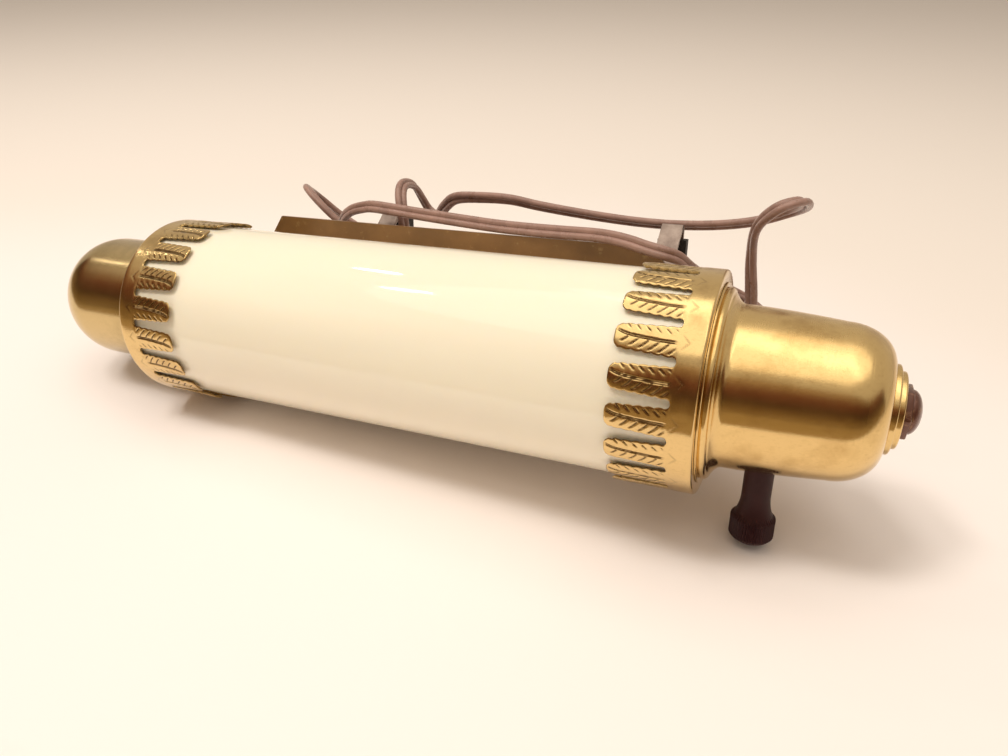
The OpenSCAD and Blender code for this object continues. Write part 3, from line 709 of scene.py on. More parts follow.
# Every finish on the lamp. Each is named after the record's material slot.
FINISHES = (
    OpalGlassFinish("opal_glass"),
    ClearGlassFinish("clear_glass"),
    BrassFinish(
        "gallery_brass", (0.76, 0.55, 0.25), (0.42, 0.26, 0.10), (0.50, 0.78), (0.07, 0.17), 0.05, 0.05, True
    ),
    BrassFinish("cup_brass", (0.77, 0.555, 0.245), (0.47, 0.28, 0.09), (0.50, 0.80), (0.07, 0.15)),
    BrassFinish("cap_brass", (0.63, 0.475, 0.23), (0.4, 0.295, 0.13), (0.48, 0.84), (0.09, 0.16), 0.05, 0.05),
    BrassFinish("socket_brass"),
    BrassFinish("blade_brass", (0.78, 0.62, 0.36), (0.50, 0.37, 0.20)),
    PaintFinish("plate_enamel", (0.27, 0.140, 0.048), (0.42, 0.27, 0.11)),
    PaintFinish("nut_enamel", (0.16, 0.062, 0.038), (0.42, 0.24, 0.12), (0.20, 0.34), 0.45, (0.54, 0.70)),
    MetalFinish("bracket_steel", (0.46, 0.42, 0.36), (0.25, 0.21, 0.17)),
    MetalFinish("hook_steel", (0.36, 0.29, 0.25), (0.20, 0.15, 0.13)),
    MetalFinish("rivet_steel", (0.52, 0.47, 0.40), (0.30, 0.26, 0.21)),
    MetalFinish("screw_steel", (0.50, 0.46, 0.41), (0.28, 0.25, 0.21)),
    MetalFinish("bulb_metal", (0.60, 0.57, 0.50), (0.38, 0.35, 0.30), (0.25, 0.4)),
    MetalFinish("filament_wire", (0.5, 0.48, 0.43), (0.3, 0.28, 0.25)),
    PlasticFinish("knob_bakelite", (0.034, 0.0095, 0.0095), (0.085, 0.035, 0.030), (0.36, 0.52), ior=1.3),
    PlasticFinish("insulator", (0.045, 0.035, 0.029), (0.14, 0.12, 0.10), (0.5, 0.7)),
    PlasticFinish("switch_case", (0.07, 0.045, 0.03), (0.16, 0.12, 0.1), (0.4, 0.6)),
    PlasticFinish("pad_rubber", (0.025, 0.020, 0.018), (0.09, 0.08, 0.07), (0.6, 0.8), 0.3),
    PlasticFinish("sleeve_rubber", (0.09, 0.05, 0.037), (0.2, 0.14, 0.11), (0.42, 0.6)),
    PlasticFinish("cord_plastic", (0.275, 0.165, 0.132), (0.40, 0.29, 0.25), (0.22, 0.34), 0.04, 0.10),
    PlasticFinish("tie_paper", (0.03, 0.025, 0.022), (0.10, 0.09, 0.08), (0.5, 0.7)),
    PlasticFinish("plug_plastic", (0.075, 0.040, 0.028), (0.17, 0.12, 0.1), (0.25, 0.4)),
    ClothFinish("felt", (0.15, 0.11, 0.06), (0.25, 0.19, 0.12)),
    ClothFinish("wire_cover", (0.62, 0.50, 0.33), (0.78, 0.68, 0.50)),
)


@dataclass
class Studio:
    """The pale floor, the soft lamps, the world and the photograph's camera."""

    camera_place: Point = (0.11304, -0.20617, 0.16717)
    camera_right: Point = (0.92050, 0.39074, 0.0)
    camera_up: Point = (-0.21239, 0.50035, 0.83937)
    camera_back: Point = (0.32797, -0.77264, 0.54357)
    lens: float = 26.24
    sensor: float = 36.0
    aim: Point = (0.02, 0, 0.03)
    floor_near: Point = (0.925, 0.858, 0.83)
    floor_far: Point = (0.87, 0.795, 0.73)
    floor_fade: Pair = (0.10, 0.34)
    floor_waves: Clouds = Clouds(5.0, 2.0)
    card_waves: Clouds = Clouds(4.0, 3.0)
    sky: Point = (1.0, 0.86, 0.71)
    sky_level: float = 0.40
    pale: Point = (0.60, 0.52, 0.43)
    white: Point = (1.0, 0.95, 0.88)
    warm: Point = (1.0, 0.90, 0.77)
    card_stops: tuple[tuple[float, Point], ...] = (
        (0.10, (0.34, 0.25, 0.13)), (0.24, (0.24, 0.16, 0.07)), (0.40, (0.085, 0.046, 0.022)),
        (0.62, (0.16, 0.055, 0.030)), (0.90, (0.38, 0.28, 0.17)))

    def camera(self) -> None:
        """Puts the camera where the photograph was taken from."""
        data = bpy.data.cameras.new("camera")
        data.lens, data.sensor_width, data.sensor_fit = self.lens, self.sensor, "HORIZONTAL"
        data.clip_start = 0.01
        camera = added("camera", data)
        turn = Matrix((self.camera_right, self.camera_up, self.camera_back)).transposed().to_4x4()
        camera.matrix_world = Matrix.Translation(self.camera_place) @ turn
        bpy.context.scene.camera = camera

    def floor(self) -> None:
        """Lays the pale floor, a little darker away from the lamp."""
        clear()
        bpy.ops.mesh.primitive_plane_add(size=12, location=(0, 0, -0.0002))
        floor = named("studio_floor")
        board = FinishBoard("floor_paper")
        reach = board.node("ShaderNodeSeparateXYZ", {0: board.places(along_lamp=False)}).outputs
        wave = board.between(board.clouds(self.floor_waves, False), -0.05, 0.05)
        aside = board.node("ShaderNodeMath", {0: board.sum_of(reach[0], wave, 1.0)}, operation="ABSOLUTE")
        depth = board.sum_of(board.sum_of(reach[1], wave, 0.4), aside.outputs[0], 0.5)
        fade = {"Value": depth, "From Min": self.floor_fade[0], "From Max": self.floor_fade[1]}
        share = board.node("ShaderNodeMapRange", fade, interpolation_type="SMOOTHERSTEP")
        colour = board.mixed(share.outputs["Result"], self.floor_near, self.floor_far)
        board.set(Roughness=0.75, Base_Color=colour)
        floor.data.materials.append(board.material)

    def lamp(
        self, name: str, place: Point, size: Pair, power: float, tint: Point, mirrored: bool = True
    ) -> None:
        """Hangs one soft lamp that faces the middle of the reading lamp.

        Args:
            name: The lamp's name.
            place: Where it hangs.
            size: Its width and height.
            power: Its power in watts.
            tint: Its colour.
            mirrored: Whether polished surfaces show it.
        """
        data = bpy.data.lights.new(name, "AREA")
        data.shape, data.size, data.size_y = "ELLIPSE", *size
        data.energy, data.color = power, tint
        lamp = added(name, data)
        lamp.location = place
        lamp.rotation_euler = (Vector(self.aim) - Vector(place)).to_track_quat("-Z", "Y").to_euler()
        lamp.visible_glossy = mirrored

    def world(self) -> None:
        """Gives the world a plain soft level and a pale look behind everything."""
        world = bpy.data.worlds.new("studio_world")
        bpy.context.scene.world = world
        board = NodeBoard(world)
        light = board.tree.nodes["Background"]
        board.feed(light, {"Color": (*self.sky, 1), "Strength": self.sky_level})
        pale = board.node("ShaderNodeBackground", {"Color": (*self.pale, 1), "Strength": 1.0})
        rays = board.node("ShaderNodeLightPath", {}).outputs
        seen = rays["Is Camera Ray"]
        for ray in ("Is Glossy Ray", "Is Transmission Ray"):
            seen = board.node("ShaderNodeMath", {0: seen, 1: rays[ray]}, operation="MAXIMUM").outputs[0]
        mix = board.node("ShaderNodeMixShader", {0: seen, 1: light.outputs[0], 2: pale.outputs[0]})
        board.feed(board.tree.nodes["World Output"], {0: mix.outputs[0]})

    def card(self, name: str, corners: Sequence[Point]) -> None:
        """Stands a dark card that only polished surfaces see.

        Args:
            name: The card's name.
            corners: Its four corners, in order.
        """
        mesh = bpy.data.meshes.new(name)
        mesh.from_pydata(corners, [], [(0, 1, 2, 3)])
        card = added(name, mesh)
        board = FinishBoard(name)
        reach = board.node("ShaderNodeSeparateXYZ", {0: board.places(along_lamp=False)}).outputs
        height = board.sum_of(reach[2], board.clouds(self.card_waves, False), 0.25)
        board.set(Roughness=0.9, Base_Color=board.ramp(height, self.card_stops))
        card.data.materials.append(board.material)
        card.visible_camera = card.visible_diffuse = card.visible_shadow = card.visible_transmission = False

    def made(self) -> None:
        """Builds the whole studio."""
        self.camera()
        self.floor()
        self.world()
        white, warm = self.white, self.warm
        self.lamp("left_lamp", (-0.70, 0.34, 0.95), (0.06, 0.10), 0.30, white)
        self.lamp("middle_lamp", (-0.66, -0.06, 1.05), (0.06, 0.10), 0.30, white)
        self.lamp("end_lamp", (-1.00, 0.04, 0.68), (0.05, 0.05), 0.07, white)
        self.lamp("key_lamp", (-0.64, -0.44, 1.5), (0.30, 0.30), 7.3, white, False)
        self.lamp("second_lamp", (-0.32, -0.28, 1.6), (0.38, 0.38), 5.8, white, False)
        self.lamp("ceiling_lamp", (0.05, -0.08, 1.05), (1.7, 1.2), 5.0, warm)
        self.lamp("strip_lamp", (0.10, 0.08, 1.04), (1.3, 0.30), 0.8, white)
        left, right, back = (-0.9, -0.9, 0.0), (1.3, -0.9, 0.0), -0.8
        self.card("room_card", [left, right, (1.3, back, 0.80), (-0.9, back, 0.80)])
        self.card("side_card", [(-1.1, 0.15, 0.0), left, (-0.9, back, 0.66), (-1.1, 0.15, 0.66)])
        self.card("end_card", [right, (1.3, 0.1, 0.0), (1.25, 0.1, 0.5), (1.3, back, 0.80)])
        edge = [(-0.9, -0.9, 0.004), (1.3, -0.9, 0.004), (1.3, -0.16, 0.001), (-0.9, -0.16, 0.001)]
        self.card("table_edge", edge)
        bpy.context.scene.view_settings.view_transform = "Standard"


@dataclass
class Piece:
    """What every new piece of the lamp has: its material."""

    finish: Material


@dataclass
class FlexCord(Piece):
    """The flat twin cord from the end cup to the plug, its route the same as its solids'.

    All in millimetres: front and back count from the plate's back and top in the lamp's own axes,
    and low, tail and the coil's places are in the row frame.
    """

    width: float = 4.9
    core_r: float = 1.28
    length: float = 1.92
    step: float = 2.0
    groove: float = 0.42
    sleeve_end: float = 44.4
    straight: float = 8.0
    coil_side: Pair = (-47.0, 51.2)
    coil_low: float = 3.8
    coil_in_r: float = 17.0
    coil_pitch: float = 5.6
    coil_rise: float = 6.0
    coil_points: int = 40
    loops: int = 3
    lead: float = 4.8
    facing: Point = (-0.33, 0.77, -0.54)
    settle: float = 0.12
    front: tuple[Point, ...] = (
        (114, 27, -29.2), (103, 28.6, -21.9), (92.5, 19.1, -15.3), (85.6, 8.6, -8.6), (81.6, 0.4, -3.2),
        (77.4, -3.4, -1.1), (71.2, -4, 0.3), (64.6, -3.9, 1.9), (55.3, -3, 2.9), (40, -1.6, 2.7),
        (27.6, -0.8, 2.6), (16.2, 0.2, 2.7), (4.5, 1.6, 3.1), (-16.8, 3.4, 4.2), (-29.7, 4.4, 5),
        (-39.6, 5.2, 5.5), (-44.8, 6.2, 5), (-53.6, 8.7, 2.5), (-61, 12.8, -3), (-62, 16.5, -12.3),
        (-56.5, 21.4, -24), (-47.5, 29.1, -32.4), (-38.5, 39.8, -35.1), (-44.5, 49.2, -30.8),
        (-56, 44.4, -22.1), (-67, 34, -13.1), (-75.6, 27.6, -4.2), (-83.9, 25.9, 4), (-91.3, 31.3, 7.2),
        (-93, 41.6, 2), (-85, 49.4, -8.3), (-69.5, 52.1, -17.1), (-55, 51.8, -20.8), (-40.5, 42, -20.2),
        (-30.5, 21.4, -14.2), (-29.6, 11.6, -5.8), (-30.6, 11, 4))
    back: tuple[Point, ...] = (
        (-32.6, 13.6, 9.6), (-34.2, 18, 12.6), (-34.9, 23.6, 13), (-35, 29.2, 11.2), (-34.9, 34, 6.6),
        (-33, 37.2, 0.8), (-27.5, 34.8, -1.2), (-21, 28.8, 3.6), (-13.1, 23.6, 8.2), (-1.6, 22, 9.4),
        (11.4, 21.6, 9.4), (23.6, 22.2, 7.6), (37.5, 22.8, 6), (50, 24, 4.7), (62, 25.2, 3.8),
        (75, 25.9, 3.6), (90, 25.8, 4.7), (102.5, 27, 6.8), (112.5, 26.9, 10.4), (117.5, 18.6, 13.9),
        (116.5, 8.3, 16.7), (110, 3.5, 14.6), (104, 9.7, 7), (103, 18.2, -5.1), (104.5, 22.1, -21.3),
        (104.5, 24, -37.7))
    low: tuple[Point, ...] = (
        (99, 45, 14.5), (86, 53, 4.6), (66, 57, 3), (38, 55, 2.8), (8, 52, 3), (-20, 51.2, 3.6))
    tail: tuple[Point, ...] = (
        (-58, 51.2, 9.8), (-66, 51, 9.2), (-76, 50.5, 7.4), (-85, 50, 6.1), (-91.8, 50, 6))
    twists: tuple[Pair, ...] = (
        (0.0, 0.0), (0.13, 10.0), (0.30, 5.0), (0.36, 60.0), (0.47, 75.0), (0.52, 30.0), (0.60, 10.0),
        (0.66, 35.0), (0.72, 75.0), (0.82, 80.0), (0.88, 60.0), (0.91, 35.0), (1.0, 40.0))

    def coil_point(self, turn: float) -> Point:
        """A point of the coil.

        Args:
            turn: The number of turns from its start.

        Returns:
            The point, in millimetres.
        """
        past = turn - self.loops
        r = self.coil_in_r + self.coil_pitch * abs(past)
        climb = min(max(past * 2 + 0.5, 0.0), 1.0)
        angle = radians(-90 - 360 * turn)
        middle_y = self.coil_side[1] + self.coil_in_r + self.coil_pitch * self.loops
        return (
            self.coil_side[0] + r * cos(angle), middle_y + r * sin(angle),
            self.coil_low + self.coil_rise * climb,
        )

    def curved(self, route: Sequence[Vector]) -> list[Vector]:
        """Points on a smooth curve through a route, about a step apart.

        Args:
            route: The points that the curve runs through.

        Returns:
            The points, the route's two ends among them.
        """
        last = len(route) - 1
        points: list[Vector] = []
        for i in range(last):
            a, b, c, d = (route[max(i - 1, 0)], route[i], route[i + 1], route[min(i + 2, last)])
            parts = max(1, round((c - b).length / self.step))
            for j in range(parts):
                t = j / parts
                bent = (2 * a - 5 * b + 4 * c - d) * t * t + (3 * b - a - 3 * c + d) * t**3
                points.append((2 * b + (c - a) * t + bent) / 2)
        return [*points, route[last]]

    def path(self) -> list[Vector]:
        """Draws the cord's centre line.

        Returns:
            Its points in the row frame, in metres.
        """
        own = [(LAMP.knob_x, self.sleeve_end + out, 0) for out in (0.0, self.straight)]
        own += [(x, LAMP.plate_back + y, LAMP.plate_up + z) for x, y, z in (*self.front, *self.back)]
        to_frame = POSE.matrix()
        points = 2 * self.loops * self.coil_points
        coil = [Vector(self.coil_point(k / self.coil_points)) for k in range(points + 1)]
        lead = Vector((self.lead, 0, 0))
        run = [(to_frame @ Vector(p)) / MM for p in own] + [*map(Vector, self.low), coil[0] + lead]
        tail = [coil[-1] - lead, *map(Vector, self.tail)]
        return [p * MM for p in self.curved(run) + coil + self.curved(tail)]

    def section(self) -> list[Pair]:
        """Draws the cord's figure-of-eight section.

        Returns:
            Places across the cord's width and its thickness.
        """
        spread = self.width / 2 - self.core_r
        lobe = arc(spread, 0, self.core_r, -125, 125, 10)
        other = [(-x, -y) for x, y in lobe]
        groove = self.core_r * self.groove
        return [*lobe, (0.0, groove), *other, (0.0, -groove)]

    def twist(self, share: float) -> float:
        """How far the cord is turned from facing the front, in radians.

        Args:
            share: How much of the run above the table is passed, from 0 to 1 and on.

        Returns:
            The twist, eased between the places that are given.
        """
        for (a, low), (b, high) in zip(self.twists, self.twists[1:]):
            if share <= b:
                return radians(low + (high - low) * smoothstep(a, b, share))
        return radians(self.twists[-1][1])

    def widths(self, path: Sequence[Vector], run: int) -> list[tuple[Vector, Vector]]:
        """The cord's wide and thin directions at each point, turned slowly to where it lies flat.

        Args:
            path: The centre line.
            run: The number of points before the cord comes down to the table.

        Returns:
            A pair of directions for each point.
        """
        found: list[tuple[Vector, Vector]] = []
        wide = Vector((0, 0, 1))
        for i in range(len(path)):
            along = (path[min(i + 1, len(path) - 1)] - path[max(i - 1, 0)]).normalized()
            lying = Vector((0, 0, 1))
            if i < run:
                lying = Vector(self.facing).cross(along)
                lying.rotate(Quaternion(along, self.twist(i / run)))
            if lying.dot(wide) < 0:
                lying = -lying
            wide = wide + lying * self.settle
            wide = (wide - along * wide.dot(along)).normalized()
            found.append((wide.copy(), along.cross(wide)))
        return found

    def build(self) -> None:
        path = self.path()
        section = [(x * MM, y * MM) for x, y in self.section()]
        low = self.low[0][2] * MM
        run = next(i for i, p in enumerate(path) if i > len(path) // 3 and p.z < low)
        ways = self.widths(path, run)
        rings = [[p + wide * x + thin * y for x, y in section] for p, (wide, thin) in zip(path, ways)]
        around = len(section)
        faces = [tuple(range(around))[::-1], tuple((len(rings) - 1) * around + k for k in range(around))]
        for i in range(len(rings) - 1):
            for k in range(around):
                a, b = i * around + k, i * around + (k + 1) % around
                faces.append((a, b, b + around, a + around))
        mesh = bpy.data.meshes.new("flex_cord")
        mesh.from_pydata([v for ring in rings for v in ring], [], faces)
        cord = added("flex_cord", mesh)
        close_up(cord, 0.000001)
        dress(cord, self.finish, 50)
        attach(cord, "lamp")
        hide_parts("cord_front", "cord_back", "cord_coil", "cord_tail")
        whole = sum((b - a).length for a, b in zip(path, path[1:]))
        log.info("flex_cord: %.3f m along its centre line", whole)


@dataclass
class LeafGallery(Piece):
    """A brass gallery: pressed leaves round the glass, a plain band, a bent rim and an end wall."""

    end: End
    leaves: int = 19
    turns: Pair = (0.0, 15.8)
    slot: float = 17.3
    tip_slot: float = 4.4
    root_slot: float = 2.5
    across: int = 30
    sheet: float = 0.75
    vein_step: float = 2.75
    corner: float = 2.2
    tip_half: float = 1.7
    scallop: float = 0.36
    root_run: float = 1.2
    band_rows: tuple[float, ...] = (17.7, 18.1, 18.5, 18.9, 19.3, 19.7, 20.1, 20.6, 21.4)
    wall_rows: tuple[float, ...] = (30.5, 28.5, 25.0, 22.0, LAMP.hole_r)
    groove: float = 0.20
    lift: float = 0.30
    crown: float = 0.16
    quilt: float = 0.05
    droop: float = 0.12

    def half_width(self, v: float) -> float:
        """Half of a leaf's width in millimetres at a distance from its tip.

        Args:
            v: The distance from the tip, up to the slot's root.

        Returns:
            The half width.
        """
        pitch = tau * LAMP.gallery_r / self.leaves
        share = min(v / self.slot, 1.0)
        gap = self.tip_slot + (self.root_slot - self.tip_slot) * share
        half = (pitch - gap) / 2
        wave = abs(sin(pi * (v + 0.5) / self.vein_step)) ** 0.8
        half += self.scallop * wave * smoothstep(0.0, 1.6, v) - 0.1
        if v < self.corner:
            rise = 1 - (1 - v / self.corner) ** 2
            half = min(half, self.tip_half + (half - self.tip_half) * rise**0.5)
        root_r = self.root_slot / 2
        past = v - (self.slot - root_r)
        if past > 0:
            half = pitch / 2 - sqrt(max(root_r**2 - past**2, 0.0))
        return min(half, pitch / 2)

    def rows(self) -> list[tuple[float, float, float]]:
        """The rows of a leaf and of the gallery behind it.

        Returns:
            For each row its distance from the tips, its radius, and half its width as an angle.
        """
        full, r, bend = pi / self.leaves, LAMP.gallery_r, LAMP.bend_r
        free_end, side_end = self.slot - self.root_run, LAMP.gallery_l - bend
        places = [v for v in (self.slot * (i / 60) for i in range(60)) if v < free_end]
        places += [self.slot - self.root_run * cos(pi / 2 * i / 7) for i in range(1, 8)]
        rows = [(v, r, self.half_width(v) / r) for v in places]
        rows += [(v, r, full) for v in self.band_rows]
        rows += [(side_end + along, r - bend + out, full) for along, out in arc(0, 0, bend, 90, 0, 5)]
        return rows + [(LAMP.gallery_l, wall, full) for wall in self.wall_rows]

    def engraving(self, u: float, v: float, half: float) -> float:
        """How deep the pressed lines are at a place on a leaf; the same value darkens the brass there, partly
        as oxide and partly as painted shade.

        Args:
            u: The distance from the leaf's middle line, in millimetres.
            v: The distance from its tip.
            half: Half of the leaf's width there.

        Returns:
            The depth, from 0 to 1.
        """
        mark_end = self.slot + 2.9
        if v > mark_end:
            return 0.0
        u *= self.end.value
        stem = -1.9 * exp(-v / 2.4) + 0.35 * smoothstep(4.0, 14.0, v) - 0.1
        away = abs(u - stem)
        midrib = (1 - smoothstep(0.08, 0.29, abs(away - 0.26))) * smoothstep(0.3, 1.0, v)
        midrib *= 1 - smoothstep(self.slot - 2.0, self.slot, v)
        shift = 0.0 if u > stem else self.vein_step * 0.5
        phase = ((v + away * 0.55 + 0.10 * away * away + shift) / self.vein_step) % 1.0
        off_line = abs(phase - 0.5) * self.vein_step * 0.80
        reach = half - (0.25 if u < stem else 0.6)
        start = 0.46 * half if u < stem else 0.40
        vein = (1 - smoothstep(0.10, 0.34, off_line)) * smoothstep(start, start + 0.5, away)
        vein *= 1 - smoothstep(reach - 0.5, reach, away)
        vein *= smoothstep(1.2, 2.2, v) * (1 - smoothstep(self.slot - 1.6, self.slot - 0.4, v))
        fork = 1 - smoothstep(0.16, 0.42, abs(mark_end - 0.4 - v - abs(u) * 0.9))
        fork *= (1 - smoothstep(1.6, 2.4, abs(u))) * smoothstep(self.slot - 0.8, self.slot - 0.2, v)
        # The leaf's outline and tip are marked too: painted shade of the sheet's edge, together with its
        # oxide.
        rim = smoothstep(half - 0.26, half - 0.06, abs(u)) if v < self.slot - 0.3 else 0.0
        rim = max(rim, 1 - smoothstep(0.02, 0.28, v))
        return max(midrib, vein, 0.3 * fork, 0.6 * rim)

    def leaf(self, index: int, first: Thing | None) -> Thing:
        """Makes one leaf with its share of the band, the bend and the end wall.

        Args:
            index: The leaf's number round the gallery.
            first: A leaf whose mesh is copied, or none for the first one.

        Returns:
            The leaf's sheet, without its thickness.
        """
        rows = self.rows()
        if first is None:
            clear()
            bpy.ops.mesh.primitive_grid_add(
                x_subdivisions=self.across, y_subdivisions=len(rows) - 1, size=2
            )
            piece = named("leaf")
            piece.data.attributes.new("engraving", "FLOAT", "POINT")
        else:
            piece = first.copy()
            piece.data = first.data.copy()
            bpy.context.scene.collection.objects.link(piece)
        marks = piece.data.attributes["engraving"].data
        centre = tau / self.leaves * index + radians(self.turns[self.end is End.RIGHT])
        lifted = self.lift * noise.noise(Vector((index * 1.7, self.end.value * 3.1, 0.5)))
        for k, point in enumerate(piece.data.vertices):
            column, row = k % (self.across + 1), k // (self.across + 1)
            side = column / self.across * 2 - 1
            v, r, half_angle = rows[row]
            u = side * half_angle * LAMP.gallery_r
            on_side = v < LAMP.gallery_l - LAMP.bend_r
            depth = self.engraving(u, v, half_angle * LAMP.gallery_r) if on_side else 0.0
            free = (1 - smoothstep(0.0, self.slot, v)) if on_side else 0.0
            height = free * (self.crown * (1 - side * side) + lifted + 0.1) - self.groove * depth
            if v < self.slot - 1:
                height += self.quilt * sin(tau * (v + 0.3 * abs(u)) / self.vein_step) * abs(side)
            if v < self.slot:
                height -= self.droop * abs(side) ** 3
            angle = centre + side * half_angle
            along = self.end.value * (LAMP.rim_x - LAMP.gallery_l + v)
            point.co = (along, -(r + height) * sin(angle), (r + height) * cos(angle))
            marks[k].value = depth
        return piece

    def build(self) -> None:
        """Joins the leaves, gives the sheet its thickness and puts the gallery in place."""
        first = self.leaf(0, None)
        parts = [first] + [self.leaf(i, first) for i in range(1, self.leaves)]
        gallery = join(f"{self.end.name.lower()}_leaf_gallery", parts)
        edit(gallery)
        bpy.ops.mesh.remove_doubles(threshold=0.003)
        clear()
        gallery.data.update()
        face = gallery.data.polygons[len(gallery.data.polygons) // 3]
        outward = Vector((0, face.center.y, face.center.z))
        if face.normal.dot(outward) < 0:
            edit(gallery)
            bpy.ops.mesh.flip_normals()
            clear()
        thicken(gallery, self.sheet)
        place(gallery)
        dress(gallery, self.finish, 40)
        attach(gallery, "lamp")
        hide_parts(f"{self.end.name.lower()}_gallery")


@dataclass
class EndCup(Piece):
    """An end cup of spun brass with a rolled bead at its mouth."""

    end: End
    length: float
    corner: Pair
    hole: float
    side_r: Pair = (LAMP.cup_r, LAMP.cup_r)
    neck: float = 3.6
    flange: float = 29.7
    notch: tuple[float, ...] = (2.55, 15, 34, 6.3)
    notch_x: float = 0.275
    stem_hole: float = 4.6
    sleeve_hole: float = 3.65

    def outline(self) -> Outline:
        """Draws the cup's wall.

        Returns:
            Its outline, from the mouth over the outside to the end and back along the inside.
        """
        bead, wide, sheet = LAMP.bead_r, LAMP.bead_w, LAMP.cup_sheet
        (cup, far_r), (run, drop) = self.side_r, self.corner
        side, turn_x, turn_r = wide + self.neck, self.length - run, far_r - drop
        lip, fall = self.neck - 0.35, cup - bead + 1.7
        outline = [(0.05, bead - 2.0), (0.05, self.flange), (0.40, self.flange), (0.55, self.flange - 0.2)]
        outline += arc(wide / 2, bead - wide / 2, wide / 2, 125, 5, 12) + [(wide + 0.2, bead - 1.6)]
        for t in (0.0, 0.1, 0.2, 0.3, 0.4, 0.5, 0.6, 0.7, 0.8, 0.9, 1.0):
            outline.append((wide + 0.35 + lip * t, bead - 1.7 + fall * (1 - (1 - t) ** 2.2)))
        for k in range(1, 10):
            outline.append((side + (turn_x - side) * k / 10, cup - (cup - far_r) * (k / 10) ** 1.6))
        outline += arc(turn_x, turn_r, run, 90, 0, 20, drop)
        outline += [(self.length, self.hole), (self.length - sheet, self.hole)]
        outline += arc(turn_x, turn_r, run - sheet, 0, 90, 12, drop - sheet)
        outline += [(side, cup - sheet), (wide + 2.2, cup - 0.25)]
        outline += [(wide + 1.1, bead - 3.7), (wide - 0.2, bead - 2.6)]
        start = LAMP.rim_x + 0.05
        return [(self.end.value * (start + x), r) for x, r in outline]

    def build(self) -> None:
        """Turns the cup, cuts its openings and puts it in place."""
        name, body, slot = "left_spun_cap", "end_cap", "cap_brass"
        if self.end is End.RIGHT:
            name, body, slot = "right_spun_cup", "lamp", "cup_brass"
        cup = turned(name, self.outline(), 144)
        wide, inner, outer, half = self.notch
        middle = (self.end.value * (LAMP.rim_x + self.notch_x), (inner + outer) / 2, 0)
        clear()
        size = (wide, outer - inner, 2 * half)
        bpy.ops.mesh.primitive_cube_add(size=1, location=middle, scale=size)
        cut(cup, named("arm_notch"))
        if self.end is End.RIGHT:
            cut(cup, rod("stem_hole", (LAMP.knob_x, 0, -30), (LAMP.knob_x, 0, -16), self.stem_hole, 40))
            cut(cup, rod("sleeve_hole", (LAMP.knob_x, 16, 0), (LAMP.knob_x, 30, 0), self.sleeve_hole, 40))
        place(cup)
        dress(cup, self.finish, 35)
        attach(cup, body)
        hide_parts("right_cup" if self.end is End.RIGHT else "left_cap")


@dataclass
class NutAndRing(Piece):
    """The stepped check ring at the right cup's end, and the cap nut with its own material."""

    nut_finish: Material
    ring_r: float = 12.5
    ring_t: float = 3.1
    step_t: float = 1.5
    step_r: float = 10.7
    round_r: float = 0.6
    flats: float = 13.5
    hex_h: float = 2.1
    edge: float = 0.45
    dome: Pair = (6.2, 3.0)
    ahead: float = 0.7

    def ring(self) -> None:
        """Turns the check ring."""
        r, t, small, hole = self.ring_r, self.ring_t, self.step_r, LAMP.nipple_r
        step, bend = self.step_t, self.round_r
        outline = [(0, hole), (0, r)] + arc(step - bend, r - bend, bend, 90, 0, 6)
        outline += [(step, small + 1.0), (step - 0.3, small + 0.7), (step - 0.3, small + 0.4)]
        outline += [(step, small)] + arc(t - bend, small - bend, bend, 90, 0, 6)
        outline += [(t - 0.1, small - 1.8), (t, small - 2.2), (t, hole)]
        ring = turned("stepped_check_ring", outline, 96, at=(LAMP.cup_end + self.ahead, 0, 0))
        place(ring)
        dress(ring, self.finish, 30)
        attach(ring, "lamp")
        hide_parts("check_ring")

    def nut(self) -> None:
        """Makes the cap nut from a six-sided block and a turned dome."""
        start = LAMP.cup_end + self.ahead + self.ring_t
        top = start + self.hex_h
        middle, sharp, r = (start + self.hex_h / 2, 0, 0), radians(40), self.flats / sqrt(3)
        clear()
        bpy.ops.mesh.primitive_cylinder_add(
            vertices=6, radius=r, depth=self.hex_h, location=middle, rotation=(0, pi / 2, 0)
        )
        block = named("cap_nut_block")
        apply_step(block, "BEVEL", width=self.edge, segments=2, limit_method="ANGLE", angle_limit=sharp)
        dome_r, dome_h = self.dome
        outline = [(-0.6, 0.0), (-0.6, dome_r)] + arc(0, 0, dome_h, 90, 0, 14, dome_r)
        dome = turned("cap_nut_dome", outline, 64, at=(top, 0, 0))
        for piece in (block, dome):
            cut(piece, rod("nipple_hole", (start - 1, 0, 0), (top + 1.4, 0, 0), LAMP.nipple_r, 32))
        nut = join("domed_cap_nut", [block, dome])
        place(nut)
        dress(nut, self.nut_finish, 35)
        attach(nut, "nut")
        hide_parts("cap_nut")


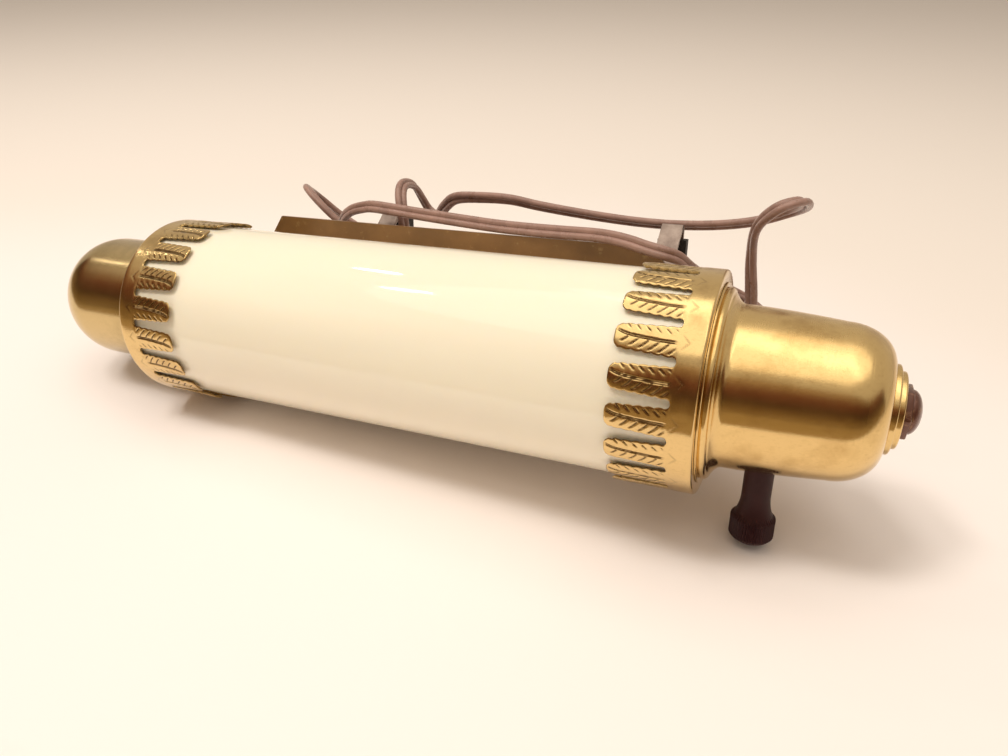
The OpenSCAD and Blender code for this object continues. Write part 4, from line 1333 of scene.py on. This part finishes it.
@dataclass
class TurnKnob(Piece):
    """The dark moulded knob: a ribbed head under a hollow neck and a straight stem."""

    head_d: float = 13.3
    head_h: float = 8.9
    stem_d: float = 8.6
    neck: float = 6.4
    ribs: int = 44
    rib_h: float = 0.26
    edge: float = 2.2
    shorter: float = 0.4
    stem_top: float = 31.5
    shaft_r: float = 1.65
    bore: float = 12.0

    def outline(self) -> Outline:
        """Draws the knob's half section.

        Returns:
            Its outline, from the middle of its end to its bore.
        """
        core, edge, high = self.head_d / 2 - self.rib_h, self.edge, self.head_h
        stem, shoulder = self.stem_d / 2, core - 0.9
        outline = [(0.0, 0.0), (0.0, core - edge - 0.9)] + arc(edge, core - edge, edge, 180, 90, 6)
        outline += [(edge + 0.5, core), (high - 1.7, core), (high - 1.2, core), (high, shoulder)]
        for k in (0.125, 0.25, 0.375, 0.5, 0.625, 0.75, 0.875, 1.0):
            outline.append((high + self.neck * k, stem + (shoulder - stem) * (1 - k) ** 2.2))
        outline += [(self.stem_top, stem), (self.stem_top, self.shaft_r)]
        outline += [(self.bore, self.shaft_r), (self.bore, 0.0)]
        return outline

    def build(self) -> None:
        """Turns the knob and presses its ribs."""
        at = (LAMP.knob_x, 0, -LAMP.knob_end_r + self.shorter)
        knob = turned("ribbed_knob", self.outline(), self.ribs * 6, Turning.KNOB, at)
        core = self.head_d / 2 - self.rib_h
        low, high = self.edge * 0.6, self.head_h - 1.2
        for point in knob.data.vertices:
            out = Vector((point.co.x - at[0], point.co.y, 0))
            along = point.co.z - at[2]
            if out.length > core - 0.6 and low < along < high + 0.1:
                wave = 0.5 + 0.5 * cos(self.ribs * atan2(out.y, out.x))
                r = core + self.rib_h * (2.0 * wave**1.5 - 0.9)
                point.co.x, point.co.y = at[0] + out.x / out.length * r, out.y / out.length * r
        place(knob)
        dress(knob, self.finish, 38)
        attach(knob, "knob")
        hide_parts("switch_knob")


@dataclass
class PaperTie(Piece):
    """The paper band that holds the coil's windings together."""

    sheet: float = 0.0005
    squareness: float = 0.4
    steps: int = 96

    def build(self) -> None:
        """Bends a band to a soft-cornered loop inside the solid tie's box."""
        solid = frame["nodes"]["cord_tie"]
        corners = [solid.matrix_world @ Vector(corner) for corner in solid.bound_box]
        low, high = (Vector([pick(c[k] for c in corners) for k in range(3)]) for pick in (min, max))
        middle, half = (low + high) / 2, (high - low) / 2
        clear()
        bpy.ops.mesh.primitive_cylinder_add(vertices=self.steps, radius=1, depth=2, end_fill_type="NOTHING")
        band = named("paper_tie_band")
        for vertex in band.data.vertices:
            across, up, along = vertex.co
            vertex.co = middle + Vector((
                half.x * copysign(abs(across) ** self.squareness, across),
                half.y * along,
                -half.z * copysign(abs(up) ** self.squareness, up),
            ))
        thicken(band, self.sheet)
        dress(band, self.finish, 35)
        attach(band, "lamp")
        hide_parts("cord_tie")


def dress_solids(materials: dict[str, Material]) -> None:
    """Gives every CAD node that stays in view the material of its slot.

    Args:
        materials: The materials, by slot.
    """
    slots = {part["node"]: part["material_slot"] for part in frame["record"]["subparts"]}
    for name, node in frame["nodes"].items():
        dress(node, materials[slots[name]], 30)


def main() -> None:
    """Builds the studio, the cord and the lamp's pieces in order."""
    logging.basicConfig(level=logging.INFO, format="%(name)s: %(message)s")
    Studio().made()
    materials = {finish.name: finish.made() for finish in FINISHES}
    FlexCord(materials["cord_plastic"]).build()
    dress_solids(materials)
    for end in End:
        LeafGallery(materials["gallery_brass"], end).build()
        log.info("%s gallery is made", end.name.lower())
    brass = materials["cup_brass"]
    EndCup(brass, End.RIGHT, 46.2, (13.0, 10.0), LAMP.nipple_r, (24.0, 22.3)).build()
    EndCup(materials["cap_brass"], End.LEFT, 51.5, (19.0, 19.0), 0.0).build()
    fittings = NutAndRing(brass, materials["nut_enamel"])
    fittings.ring()
    fittings.nut()
    TurnKnob(materials["knob_bakelite"]).build()
    PaperTie(materials["tie_paper"]).build()
    log.info("cups, nut, knob and tie are made")


if __name__ == "__main__":
    main()
